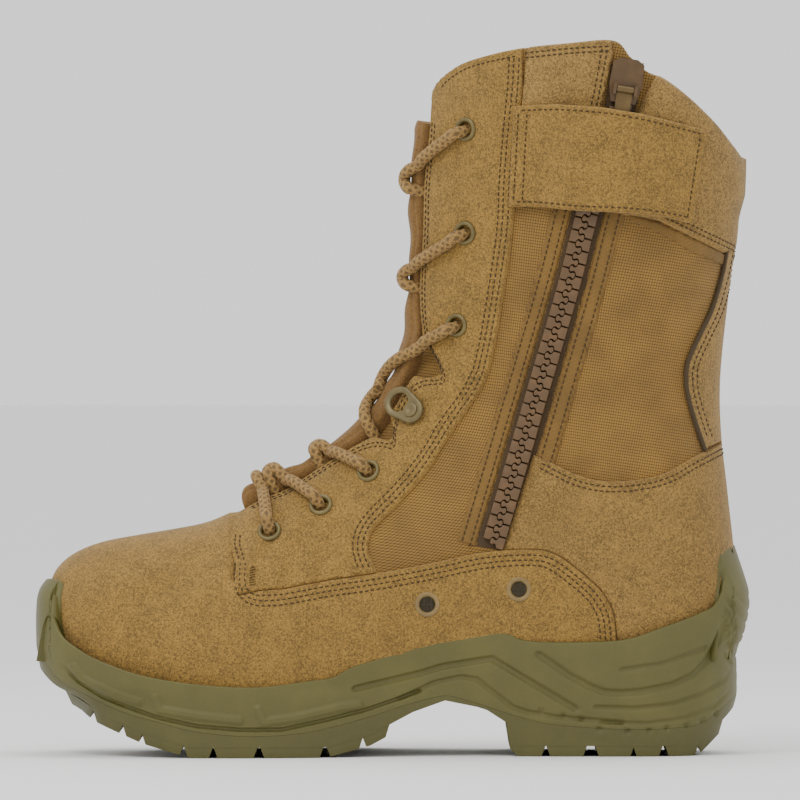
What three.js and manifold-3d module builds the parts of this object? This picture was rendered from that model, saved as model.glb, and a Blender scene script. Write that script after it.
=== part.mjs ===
// A right combat boot, laced in front and zipped on its inner side, as separate closed solids.
// Millimetres, +Z up, toe towards -X, inner (zip) side towards -Y, standing on its lugs at Z = 0.
import * as THREE from "three";
import { mergeVertices } from "three/addons/utils/BufferGeometryUtils.js";
import Module from "manifold-3d";

const wasm = await Module();
wasm.setup();

// Driving dimensions
const BOOT_LENGTH = 305;
const SOLE_HEIGHT = 48.6;
const UPPER_HEIGHT = 255.8;
const BALL_WIDTH = 112;
const SHAFT_WIDTH = 98;
const WALL = 2.2;
const SUEDE = 1.6;
const CLEARANCE = 0.3;
const CUFF_PADDING = 1.9;
const INSOLE_THICKNESS = 4.5;
const TREAD_DEPTH = 4.5;
const TREAD_CHANNEL = 7;
const SIDE_GROOVE_DEPTH = 1.1;
const TONGUE_THICKNESS = 3;
const GUSSET_DROP = 1.7;
const EYELET_FLANGE = 10.4;
const EYELET_HOLE = 6.4;
const EYELET_WALL = 0.8;
const EYELET_RISE = 1;
const EYELET_STAND = 0.45;
const HOOK_THICKNESS = 1.4;
const HOOK_STAND = 1.5;
const HOOK_WIDTH = 13;
const HOOK_HOLE = 7;
const HOOK_LENGTH = 19;
const LACE_DIAMETER = 4.8;
const LACE_STAND = 1.8;
const ZIP_TAPE_WIDTH = 14.4;
const ZIP_TAPE_THICKNESS = 0.6;
const ZIP_CHAIN_WIDTH = 9.6;
const ZIP_CHAIN_THICKNESS = 2.3;
const TOOTH_PITCH = 5.2;
const SLIDER_WIDTH = 14;
const SLIDER_LENGTH = 19;
const SLIDER_THICKNESS = 3.2;
const PULL_WIDTH = 7;
const PULL_LENGTH = 26;
const PULL_THICKNESS = 1.4;
const FLAP_THICKNESS = 1.8;
const VENT_DIAMETER = 10.8;
const VENT_HOLE = 6.6;
const VENT_RISE = 0.7;

// How finely the lasted form and the sole's outline are divided
const SECTION_STEPS = 26;
const PROFILE_STEPS = 5;
const OUTLINE_STEPS = 16;

// Places: x is a share of the boot's length from the toe, up a share of the upper's height above the
// heel's rubber line, low a share of the sole's height above the floor.
const placeX = (x) => (x - 0.5) * BOOT_LENGTH;
const placeUp = (up) => SOLE_HEIGHT + up * UPPER_HEIGHT;
const placeLow = (low) => low * SOLE_HEIGHT;
const upper = (points) => points.map(([x, up]) => [placeX(x), placeUp(up)]);
const lower = (points) => points.map(([x, low]) => [placeX(x), placeLow(low)]);

// The lasted form, a row for each section from the toe's nose, over the foot and up the shaft.
// Each section runs from a front point on the crest to a point under the foot or at the back.
// Half widths: inner and outer are shares of half the ball's width, leg of half the shaft's width.
const SECTION_COLUMNS = [
  "frontX", "frontUp", "backX", "backUp", "inner", "outer", "leg",
  "baseInner", "baseOuter", "axis", "widest", "closed", "backPower",
];
const SECTIONS = [
  [0.015, 0.061, 0.015, -0.02, 0, 0, 0, 0, 0, -0.16, 0.5, 0, 2],
  [0.019, 0.091, 0.024, -0.035, 0.2, 0.2, 0, 0.18, 0.18, -0.16, 0.56, 0, 2],
  [0.031, 0.123, 0.041, -0.05, 0.41, 0.41, 0, 0.375, 0.375, -0.155, 0.6, 0, 2],
  [0.056, 0.148, 0.068, -0.066, 0.57, 0.57, 0, 0.5, 0.5, -0.145, 0.64, 0, 2],
  [0.094, 0.166, 0.106, -0.084, 0.7, 0.695, 0, 0.63, 0.63, -0.125, 0.68, 0, 2],
  [0.145, 0.178, 0.154, -0.101, 0.8, 0.79, 0, 0.74, 0.73, -0.09, 0.7, 0, 2],
  [0.196, 0.188, 0.205, -0.111, 0.87, 0.85, 0, 0.82, 0.8, -0.06, 0.72, 0, 2],
  [0.238, 0.198, 0.251, -0.116, 0.895, 0.885, 0, 0.86, 0.85, -0.04, 0.72, 0, 2],
  [0.275, 0.216, 0.298, -0.118, 0.89, 0.905, 0, 0.87, 0.87, -0.02, 0.72, 0, 2],
  [0.317, 0.243, 0.35, -0.113, 0.848, 0.9, 0, 0.866, 0.902, -0.01, 0.72, 0, 2],
  [0.364, 0.275, 0.406, -0.104, 0.795, 0.875, 0, 0.804, 0.89, 0, 0.72, 0, 2],
  [0.41, 0.309, 0.47, -0.089, 0.75, 0.83, 0, 0.723, 0.85, 0.01, 0.72, 0, 2],
  [0.45, 0.346, 0.54, -0.061, 0.714, 0.795, 0, 0.652, 0.79, 0.015, 0.7, 0, 2],
  [0.48, 0.387, 0.614, -0.044, 0.48, 0.55, 0.25, 0.607, 0.73, 0.01, 0.66, 0, 2],
  [0.499, 0.429, 0.693, -0.04, 0.24, 0.3, 0.5, 0.598, 0.68, 0.005, 0.62, 0, 2.4],
  [0.512, 0.474, 0.78, -0.039, 0.1, 0.145, 0.65, 0.607, 0.66, 0, 0.6, 0, 3],
  [0.52, 0.518, 0.865, -0.037, 0.05, 0.08, 0.71, 0.6, 0.62, 0, 0.58, 0.1, 3.5],
  [0.525, 0.558, 0.935, -0.032, 0.02, 0.04, 0.745, 0.455, 0.465, 0, 0.56, 0.35, 4],
  [0.528, 0.595, 0.973, -0.013, 0, 0.01, 0.77, 0.2, 0.2, 0, 0.55, 0.75, 4],
  [0.53, 0.632, 0.983, 0.03, 0, 0, 0.78, 0, 0, 0, 0.54, 1, 4],
  [0.532, 0.672, 0.985, 0.084, 0, 0, 0.786, 0, 0, 0, 0.53, 1, 4],
  [0.534, 0.716, 0.982, 0.16, 0, 0, 0.786, 0, 0, 0, 0.53, 1, 3.6],
  [0.535, 0.76, 0.973, 0.252, 0, 0, 0.79, 0, 0, 0, 0.52, 1, 3.2],
  [0.537, 0.807, 0.964, 0.345, 0, 0, 0.806, 0, 0, 0, 0.52, 1, 2.9],
  [0.54, 0.857, 0.963, 0.437, 0, 0, 0.837, 0, 0, 0, 0.52, 1, 2.7],
  [0.546, 0.911, 0.973, 0.555, 0, 0, 0.888, 0, 0, 0, 0.52, 1, 2.6],
  [0.554, 0.971, 0.983, 0.664, 0, 0, 0.939, 0, 0, 0, 0.52, 1, 2.5],
  [0.566, 1.039, 0.989, 0.765, 0, 0, 0.98, 0, 0, 0, 0.52, 1, 2.5],
  [0.58, 1.118, 0.993, 0.866, 0, 0, 1, 0, 0, 0, 0.52, 1, 2.5],
  [0.594, 1.193, 0.994, 0.975, 0, 0, 1, 0, 0, 0, 0.52, 1, 2.5],
];

// The sole's plan outline from toe to heel. Half widths and axis are shares of half the ball's width.
const PLAN_COLUMNS = ["along", "inner", "outer", "axis"];
const PLAN = [
  [0, 0, 0, -0.16],
  [0.007, 0.3, 0.3, -0.16],
  [0.024, 0.5, 0.5, -0.155],
  [0.052, 0.66, 0.655, -0.145],
  [0.095, 0.8, 0.8, -0.12],
  [0.15, 0.915, 0.9, -0.09],
  [0.216, 0.975, 0.965, -0.055],
  [0.28, 0.985, 1.01, -0.03],
  [0.34, 0.945, 1.035, -0.01],
  [0.405, 0.87, 1.01, 0.01],
  [0.475, 0.79, 0.935, 0.025],
  [0.55, 0.72, 0.865, 0.025],
  [0.63, 0.69, 0.8, 0.02],
  [0.716, 0.69, 0.755, 0.01],
  [0.81, 0.705, 0.74, 0],
  [0.88, 0.695, 0.705, 0],
  [0.935, 0.62, 0.62, 0],
  [0.972, 0.45, 0.45, 0],
  [0.992, 0.24, 0.24, 0],
  [1, 0, 0, 0],
];

// The sole's silhouette by height: how far it reaches at toe and heel, and how wide it is there.
const SOLE_LEVEL_COLUMNS = ["low", "up", "toe", "heel", "toeWidth", "heelWidth"];
const SOLE_LEVELS = [
  [-0.1, 0, 0.1, 0.95, 0.94, 0.94],
  [0.43, 0, 0.061, 0.983, 0.97, 0.98],
  [0.65, 0, 0.014, 0.987, 0.99, 0.985],
  [0.9, 0, 0.002, 0.987, 1, 0.99],
  [1, 0.007, 0, 0.996, 0.99, 0.985],
  [1, 0.05, 0, 1.004, 0.94, 0.96],
  [1, 0.08, 0.003, 1.004, 0.84, 0.94],
  [1, 0.104, 0.015, 0.999, 0.7, 0.93],
  [1, 0.165, 0.06, 0.982, 0.55, 0.91],
];

// Lines of the upper in side view, all as [x, up]
const COLLAR_LINE = [
  [0.5, 0.8], [0.546, 0.887], [0.554, 0.916], [0.566, 0.941], [0.594, 0.965], [0.628, 0.978],
  [0.678, 0.99], [0.746, 0.998], [0.81, 1.002], [0.834, 0.975], [0.858, 0.951], [0.882, 0.939],
  [0.915, 0.911], [0.949, 0.874], [0.983, 0.824], [1.03, 0.75],
];
const THROAT_EDGE = [
  [0.559, 0.975], [0.554, 0.892], [0.552, 0.847], [0.546, 0.771], [0.544, 0.682], [0.539, 0.587],
  [0.543, 0.514], [0.554, 0.489], [0.567, 0.466], [0.565, 0.447], [0.544, 0.442], [0.532, 0.445],
  [0.522, 0.43], [0.509, 0.4], [0.498, 0.376], [0.504, 0.35], [0.496, 0.338], [0.482, 0.341],
  [0.471, 0.341], [0.447, 0.326], [0.406, 0.296], [0.355, 0.257], [0.326, 0.242], [0.3, 0.227],
  [0.285, 0.213],
];
const EYESTAY_FRONT = [[0.277, 0.2], [0.274, 0.175], [0.274, 0.161], [0.281, 0.131], [0.28, 0.108]];
const EYESTAY_REAR = [
  [0.686, 1.01], [0.683, 0.926], [0.676, 0.839], [0.671, 0.758], [0.669, 0.696], [0.66, 0.612],
  [0.641, 0.482], [0.625, 0.425], [0.583, 0.35], [0.552, 0.292], [0.519, 0.245], [0.482, 0.2],
  [0.469, 0.176], [0.468, 0.151], [0.481, 0.116],
];
const WING_EDGE = [
  [0.286, 0.09], [0.313, 0.087], [0.355, 0.092], [0.406, 0.103], [0.481, 0.116], [0.557, 0.133],
  [0.611, 0.147], [0.656, 0.154], [0.704, 0.155], [0.731, 0.146], [0.764, 0.118], [0.793, 0.086],
  [0.81, 0.049], [0.815, 0],
];
const COUNTER_TOP = [
  [0.698, 0.313], [0.714, 0.306], [0.76, 0.279], [0.8, 0.269], [0.841, 0.271], [0.882, 0.282],
  [0.921, 0.306], [0.941, 0.318], [0.975, 0.336], [1.02, 0.35],
];
const BACK_STRIP_EDGE = [
  [0.985, 0.72], [0.973, 0.655], [0.966, 0.612], [0.952, 0.556], [0.932, 0.508], [0.916, 0.466],
  [0.914, 0.43], [0.919, 0.398], [0.929, 0.36], [0.941, 0.32],
];
const CUFF_LOW = [[0.797, 0.716], [0.874, 0.703], [0.917, 0.679], [0.972, 0.649], [1.03, 0.62]];
const COLLAR_FRONT_REAR_EDGE = [[0.812, 1.01], [0.793, 0.89], [0.76, 0.74]];
const CUFF_FRONT_EDGE = [[0.862, 0.965], [0.84, 0.87], [0.806, 0.716]];
const CUFF_FRONT_EDGE_OUTER = [[0.69, 1.01], [0.681, 0.85], [0.677, 0.74]];
const FLAP_OUTLINE = [
  [0.672, 0.894], [0.733, 0.897], [0.794, 0.892], [0.843, 0.882], [0.893, 0.867], [0.934, 0.854],
  [0.914, 0.699], [0.874, 0.711], [0.828, 0.718], [0.764, 0.721], [0.707, 0.726], [0.664, 0.726],
];
const ZIP_LINE = [
  [0.836, 1.03], [0.819, 0.889], [0.794, 0.798], [0.774, 0.719], [0.746, 0.588], [0.709, 0.437],
  [0.674, 0.294], [0.639, 0.153],
];
const SLIDER_PLACE = [0.827, 0.935];
const EYELETS = [
  [0.329, 0.186], [0.401, 0.229], [0.468, 0.285], [0.591, 0.529], [0.603, 0.683], [0.604, 0.856],
];
const HOOK_PLACE = [0.531, 0.384];
const VENTS = { front: [0.55, 0.064], rear: [0.678, 0.089] };
const RUBBER_LINE = [
  [-0.02, 0.1], [0.021, 0.1], [0.021, 0.074], [0.023, 0.049], [0.03, 0.025], [0.041, 0.006],
  [0.059, -0.009], [0.09, -0.029], [0.152, -0.054], [0.23, -0.069], [0.313, -0.074], [0.388, -0.064],
  [0.451, -0.039], [0.512, -0.018], [0.591, 0.005], [0.646, 0.014], [0.666, 0.012], [0.683, 0.003],
  [0.729, -0.001], [0.822, 0.003], [0.88, 0.024], [0.932, 0.047], [0.956, 0.063], [0.973, 0.104],
  [0.979, 0.136], [0.982, 0.158], [1.02, 0.16],
];

// Lines of the sole in side view, all as [x, low]
const PARTING_LINE = [
  [-0.02, 0.9], [0.01, 0.86], [0.035, 0.68], [0.08, 0.51], [0.134, 0.38], [0.171, 0.32], [0.23, 0.23],
  [0.309, 0.19], [0.388, 0.23], [0.467, 0.35], [0.512, 0.44], [0.567, 0.53], [0.591, 0.52],
  [0.623, 0.46], [0.683, 0.34], [0.729, 0.28], [0.822, 0.24], [0.894, 0.25], [0.938, 0.3],
  [0.983, 0.51], [1.02, 0.65],
];

// The tread's lowest line. Each lug reaches it, and between lugs the plate stays a tread depth higher.
const TREAD_LINE = [
  [0, 0.7], [0.035, 0.5], [0.086, 0.3], [0.154, 0.12], [0.22, 0], [0.41, 0], [0.47, 0.1], [0.53, 0.3],
  [0.575, 0.4], [0.63, 0.33], [0.662, 0.2], [0.668, 0], [0.93, 0], [0.985, 0.33], [1.02, 0.5],
];
const LUG_COLUMNS = ["start", "end"];
const LUGS = [
  [0.05, 0.078], [0.088, 0.12], [0.13, 0.148], [0.157, 0.205], [0.216, 0.246], [0.258, 0.308],
  [0.323, 0.4], [0.415, 0.455], [0.465, 0.492], [0.666, 0.71], [0.722, 0.768], [0.79, 0.834],
  [0.843, 0.874], [0.888, 0.925], [0.934, 0.96],
];

// Grooves and recesses of the sole's side, each an outline in side view
const SIDE_GROOVES = {
  toe: {
    unit: lower,
    outline: [
      [0.02, 0.98], [0.04, 0.8], [0.064, 0.66], [0.1, 0.52], [0.137, 0.43], [0.175, 0.35],
      [0.175, 0.3], [0.134, 0.375], [0.096, 0.46], [0.058, 0.61], [0.034, 0.76], [0.014, 0.94],
    ],
  },
  ball: {
    unit: lower,
    outline: [
      [0.171, 0.4], [0.178, 0.46], [0.23, 0.39], [0.288, 0.35], [0.288, 0.28], [0.23, 0.31],
    ],
  },
  waist: {
    unit: lower,
    outline: [
      [0.315, 0.35], [0.325, 0.4], [0.37, 0.42], [0.43, 0.5], [0.455, 0.52], [0.44, 0.43],
      [0.37, 0.32],
    ],
  },
  archRidge: {
    unit: lower,
    outline: [
      [0.455, 0.63], [0.54, 0.76], [0.57, 0.82], [0.64, 0.88], [0.69, 0.7], [0.757, 0.44],
      [0.745, 0.4], [0.68, 0.63], [0.634, 0.81], [0.573, 0.76], [0.545, 0.7], [0.458, 0.57],
    ],
  },
  arch: {
    unit: lower,
    outline: [
      [0.512, 0.5], [0.561, 0.64], [0.597, 0.7], [0.625, 0.66], [0.645, 0.55], [0.672, 0.43],
      [0.73, 0.33], [0.68, 0.39], [0.623, 0.51], [0.567, 0.58],
    ],
  },
  heelScoop: {
    unit: lower,
    outline: [
      [0.706, 0.9], [0.75, 0.72], [0.78, 0.62], [0.822, 0.58], [0.852, 0.6], [0.895, 0.66],
      [0.925, 0.75], [0.945, 0.88], [0.95, 0.84], [0.93, 0.69], [0.9, 0.6], [0.855, 0.54],
      [0.822, 0.52], [0.78, 0.55], [0.745, 0.66], [0.703, 0.84],
    ],
  },
  heelBack: {
    unit: upper,
    outline: [
      [0.955, 0.04], [0.975, 0.06], [0.99, 0.14], [1.01, 0.14], [1.01, -0.02], [0.97, -0.04],
      [0.955, -0.02],
    ],
  },
};

// Materials, coloured from the photograph
const finish = (color, roughness, metalness) =>
  new THREE.MeshStandardMaterial({ color, roughness, metalness });
const suede = () => finish(0x97784a, 0.95, 0);
const rubber = () => finish(0x726c45, 0.8, 0);
const nylon = () => finish(0x93713f, 0.85, 0);
const paintedMetal = () => finish(0x9a8b64, 0.45, 0.6);
const mouldedPlastic = () => finish(0x8a6b42, 0.6, 0);
const braid = () => finish(0x9c7c4e, 0.9, 0);
const darkSuede = () => finish(0x70512f, 0.95, 0);

// Solids: closed meshes joined and cut with manifold
function solid(geometry) {
  const bare = new THREE.BufferGeometry();
  bare.setAttribute("position", geometry.getAttribute("position"));
  if (geometry.index) bare.setIndex(geometry.index);
  const merged = mergeVertices(bare, 1e-4);
  const made = new wasm.Manifold(
    new wasm.Mesh({
      numProp: 3,
      vertProperties: new Float32Array(merged.attributes.position.array),
      triVerts: new Uint32Array(merged.index.array),
    }),
  );
  return made;
}

function geometryOf(body) {
  const mesh = body.getMesh();
  const positions = new Float32Array(mesh.numVert * 3);
  for (let i = 0; i < mesh.numVert; i++) {
    positions.set(mesh.vertProperties.subarray(i * mesh.numProp, i * mesh.numProp + 3), i * 3);
  }
  const geometry = new THREE.BufferGeometry();
  geometry.setAttribute("position", new THREE.BufferAttribute(positions, 3));
  geometry.setIndex(new THREE.BufferAttribute(new Uint32Array(mesh.triVerts), 1));
  geometry.computeVertexNormals();
  return geometry;
}

// The body's largest piece, without the slivers that a cut can leave beside it.
function largest(body) {
  const pieces = body.decompose();
  pieces.sort((a, b) => b.volume() - a.volume());
  return pieces[0];
}

const boot = new THREE.Group();
function add(name, geometry, material) {
  const mesh = new THREE.Mesh(geometry, material);
  mesh.name = name;
  boot.add(mesh);
  return mesh;
}

// A smooth curve through the rows of a table, by row number. u runs from 0 to 1.
function rowAt(table, columns, u) {
  const last = table.length - 1;
  const at = Math.min(Math.max(u, 0), 1) * last;
  const k = Math.min(Math.floor(at), last - 1);
  const f = at - k;
  const rows = [table[Math.max(k - 1, 0)], table[k], table[k + 1], table[Math.min(k + 2, last)]];
  const row = {};
  columns.forEach((column, c) => {
    const [p0, p1, p2, p3] = rows.map((r) => r[c]);
    const rise = (p2 - p0) / 2;
    const next = (p3 - p1) / 2;
    row[column] =
      p1 + f * rise + f * f * (3 * (p2 - p1) - 2 * rise - next) +
      f * f * f * (2 * (p1 - p2) + rise + next);
  });
  return row;
}

// A smooth line through points, as points
function smoothLine(points, steps) {
  const curve = new THREE.CatmullRomCurve3(points.map(([x, z]) => new THREE.Vector3(x, 0, z)));
  return curve.getPoints(steps).map((p) => [p.x, p.z]);
}

// A point of the form's surface. u picks the section, a runs from the crest (0) over the widest
// place (0.5) to the base or back (1) and on below it, side is -1 for inner and 1 for outer.
function surfacePoint(u, a, side, drop = 0) {
  const row = rowAt(SECTIONS, SECTION_COLUMNS, u);
  const front = new THREE.Vector2(placeX(row.frontX), placeUp(row.frontUp));
  const back = new THREE.Vector2(placeX(row.backX), placeUp(row.backUp));
  const foot = Math.max(side < 0 ? row.inner : row.outer, 0) * (BALL_WIDTH / 2);
  const half = foot + (Math.max(row.leg, 0) * SHAFT_WIDTH) / 2;
  const base = Math.max(side < 0 ? row.baseInner : row.baseOuter, 0) * (BALL_WIDTH / 2);
  const closed = THREE.MathUtils.clamp(row.closed, 0, 1);
  let t;
  let width;
  if (a <= 0.5) {
    const turn = Math.PI * a;
    t = row.widest * (1 - Math.cos(turn));
    width = half * Math.sin(turn);
  } else {
    const part = (Math.min(a, 1) - 0.5) * 2;
    const tau = THREE.MathUtils.lerp(part, Math.sin((part * Math.PI) / 2), closed);
    t = row.widest + (1 - row.widest) * tau;
    const keep = Math.pow(Math.max(1 - Math.pow(tau, row.backPower), 0), 1 - closed / 2);
    width = base + (half - base) * keep;
  }
  const along = back.clone().sub(front);
  const open = 1 - closed;
  const p = front.clone().addScaledVector(along, t);
  if (drop) p.addScaledVector(along.normalize(), drop * open);
  return new THREE.Vector3(p.x, (row.axis * BALL_WIDTH) / 2 + side * width, p.y);
}

// The outward normal of the form's surface, from nearby points
const NUDGE = 1e-3;
function surfaceNormal(u, a, side) {
  const u0 = Math.max(u - NUDGE, 0);
  const u1 = Math.min(u + NUDGE, 1);
  const a0 = Math.max(a - NUDGE, 0);
  const a1 = Math.min(a + NUDGE, 1);
  const alongU = surfacePoint(u1, a, side).sub(surfacePoint(u0, a, side));
  const alongA = surfacePoint(u, a1, side).sub(surfacePoint(u, a0, side));
  const normal = alongU.cross(alongA).multiplyScalar(side);
  if (normal.length() < 1e-9 || u === 0) return new THREE.Vector3(-1, 0, 0);
  normal.normalize();
  if (a === 0) normal.setY(0).normalize();
  if (a === 1 && surfacePoint(u, 1, side).y === surfacePoint(u, 1, -side).y) {
    normal.setY(0).normalize();
  }
  return normal;
}

// The whole form as one solid, grown by a number or by a function of the point. It reaches
// as far below the foot as drop says.
function form(grow, drop = 0) {
  const positions = [];
  const index = [];
  const keys = new Map();
  const vertex = (p) => {
    const key = [p.x, p.y, p.z].map((v) => Math.round(v * 1000)).join();
    if (!keys.has(key)) {
      keys.set(key, positions.length / 3);
      positions.push(p.x, p.y, p.z);
    }
    return keys.get(key);
  };
  const triangle = (a, b, c) => {
    if (a !== b && b !== c && c !== a) index.push(a, b, c);
  };
  const quad = (a, b, c, d) => {
    triangle(a, b, c);
    triangle(a, c, d);
  };
  const rings = [];
  for (let i = 0; i <= SECTION_STEPS; i++) {
    const u = i / SECTION_STEPS;
    const ring = [];
    for (const side of [1, -1]) {
      const half = [];
      for (let j = 0; j <= 2 * PROFILE_STEPS; j++) {
        const a = j / (2 * PROFILE_STEPS);
        const p = surfacePoint(u, a, side);
        const h = typeof grow === "function" ? grow(p) : grow;
        half.push(p.addScaledVector(surfaceNormal(u, a, side), h));
      }
      const foot = surfacePoint(u, 1, side, drop);
      const lastPoint = surfacePoint(u, 1, side);
      half.push(half[half.length - 1].clone().add(foot.sub(lastPoint)));
      ring.push(...(side > 0 ? half : half.reverse().slice(0, -1)));
    }
    rings.push(ring.map(vertex));
  }
  const around = rings[0].length;
  for (let i = 0; i < SECTION_STEPS; i++) {
    for (let j = 0; j < around; j++) {
      const next = (j + 1) % around;
      quad(rings[i][j], rings[i + 1][j], rings[i + 1][next], rings[i][next]);
    }
  }
  const top = rings[SECTION_STEPS];
  const centre = new THREE.Vector3();
  top.forEach((v) => centre.add(new THREE.Vector3().fromArray(positions, v * 3)));
  const middle = vertex(centre.divideScalar(around));
  for (let j = 0; j < around; j++) triangle(top[(j + 1) % around], top[j], middle);
  const geometry = new THREE.BufferGeometry();
  geometry.setAttribute("position", new THREE.BufferAttribute(new Float32Array(positions), 3));
  geometry.setIndex(index);
  return solid(geometry);
}

// The section u and the place a round it at which the form shows a point of the side view
function sectionPlace([x, up], side) {
  const targetX = placeX(x);
  const targetZ = placeUp(up);
  let best = { miss: Infinity };
  const steps = 60;
  for (let i = 1; i < steps; i++) {
    for (let j = 1; j < steps; j++) {
      const p = surfacePoint(i / steps, j / steps, side);
      const miss = Math.hypot(p.x - targetX, p.z - targetZ);
      if (miss < best.miss) best = { miss, u: i / steps, a: j / steps };
    }
  }
  let { u, a } = best;
  for (let round = 0; round < 12; round++) {
    const p = surfacePoint(u, a, side);
    const pu = surfacePoint(u + NUDGE, a, side).sub(p).divideScalar(NUDGE);
    const pa = surfacePoint(u, a + NUDGE, side).sub(p).divideScalar(NUDGE);
    const det = pu.x * pa.z - pu.z * pa.x;
    const dx = targetX - p.x;
    const dz = targetZ - p.z;
    u += (dx * pa.z - dz * pa.x) / det;
    a += (pu.x * dz - pu.z * dx) / det;
  }
  return { u, a };
}

// A point above the surface. A negative a is on the inner side, a positive one on the outer.
function raised(u, a, height) {
  const side = a < 0 ? -1 : 1;
  const place = Math.abs(a);
  return surfacePoint(u, place, side).addScaledVector(surfaceNormal(u, place, side), height);
}

// A frame standing on the surface: Z outward, Y as near as it can be to the given direction
function surfaceFrame({ u, a }, side, lift = 0, upward = new THREE.Vector3(0, 0, 1)) {
  const normal = surfaceNormal(u, a, side);
  const across = upward.clone().cross(normal).normalize();
  const along = normal.clone().cross(across);
  const frame = new THREE.Matrix4().makeBasis(across, along, normal);
  frame.setPosition(surfacePoint(u, a, side).addScaledVector(normal, lift));
  return frame;
}

// A closed plate on the surface: rows of places across it, each from one a to another,
// between a low and a high surface. Every value may be a function of u and of the share across.
function plate({ us, from, to, columns, low, high }) {
  const value = (v, u, share) => (typeof v === "function" ? v(u, share) : v);
  const positions = [];
  const index = [];
  const across = columns + 1;
  for (const height of [low, high]) {
    for (const u of us) {
      for (let c = 0; c <= columns; c++) {
        const share = c / columns;
        const a = THREE.MathUtils.lerp(from(u), to(u), share);
        positions.push(...raised(u, a, value(height, u, share)).toArray());
      }
    }
  }
  const layer = us.length * across;
  const at = (top, r, c) => top * layer + r * across + c;
  const quad = (a, b, c, d) => index.push(a, b, c, a, c, d);
  const last = us.length - 1;
  for (let r = 0; r < last; r++) {
    for (let c = 0; c < columns; c++) {
      quad(at(1, r, c), at(1, r + 1, c), at(1, r + 1, c + 1), at(1, r, c + 1));
      quad(at(0, r, c), at(0, r, c + 1), at(0, r + 1, c + 1), at(0, r + 1, c));
    }
    quad(at(0, r, 0), at(0, r + 1, 0), at(1, r + 1, 0), at(1, r, 0));
    quad(at(0, r, columns), at(1, r, columns), at(1, r + 1, columns), at(0, r + 1, columns));
  }
  for (let c = 0; c < columns; c++) {
    quad(at(0, 0, c), at(1, 0, c), at(1, 0, c + 1), at(0, 0, c + 1));
    quad(at(0, last, c), at(0, last, c + 1), at(1, last, c + 1), at(1, last, c));
  }
  const geometry = new THREE.BufferGeometry();
  geometry.setAttribute("position", new THREE.BufferAttribute(new Float32Array(positions), 3));
  geometry.setIndex(index);
  return solid(geometry);
}

// Prisms: an outline of the side view run through the boot, whole or on one side only
const REACH = BALL_WIDTH;
function sidePrism(points, side = 0) {
  const shape = new THREE.Shape(points.map(([x, z]) => new THREE.Vector2(x, z)));
  const from = side > 0 ? 0 : -REACH;
  const to = side < 0 ? 0 : REACH;
  const geometry = new THREE.ExtrudeGeometry(shape, { depth: to - from, bevelEnabled: false });
  geometry.rotateX(Math.PI / 2);
  geometry.translate(0, to, 0);
  return solid(geometry);
}

// A band of the side view between two lines run the same way
const band = (line, otherLine) => [...line, ...[...otherLine].reverse()];

// Points moved sideways along a line, to its left when looking along it
function besides(points, distance) {
  return points.map((p, i) => {
    const before = points[Math.max(i - 1, 0)];
    const after = points[Math.min(i + 1, points.length - 1)];
    const dx = after[0] - before[0];
    const dz = after[1] - before[1];
    const length = Math.hypot(dx, dz);
    return [p[0] - (dz / length) * distance, p[1] + (dx / length) * distance];
  });
}

// Heights of the form's surfaces from its outer skin
const SEAT = -(SUEDE + CLEARANCE);
const LINING = SEAT - WALL;
const FAR = 0.3;

// The outlines that many pieces share
const collarLine = upper(COLLAR_LINE);
const throatEdge = upper(THROAT_EDGE);
const eyestayFront = upper(EYESTAY_FRONT);
const eyestayRear = upper(EYESTAY_REAR);
const wingEdge = upper(WING_EDGE);
const sky = placeUp(1 + FAR);
const underFloor = -SOLE_HEIGHT * FAR;
const beyondToe = placeX(-FAR);
const beyondHeel = placeX(1 + FAR);

// The deck is the line on which upper and insole stand, a little above the form's lowest line.
const DECK_RISE = 0.8;
function deckLine(rise) {
  const column = (row, name) => row[SECTION_COLUMNS.indexOf(name)];
  const openRows = SECTIONS.filter((row) => column(row, "closed") < 0.5);
  const points = openRows.map((row) => [
    placeX(column(row, "backX")),
    placeUp(column(row, "backUp")) + DECK_RISE + rise,
  ]);
  points[0][0] = beyondToe;
  points.push([beyondHeel, points[points.length - 1][1]]);
  return points;
}

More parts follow.
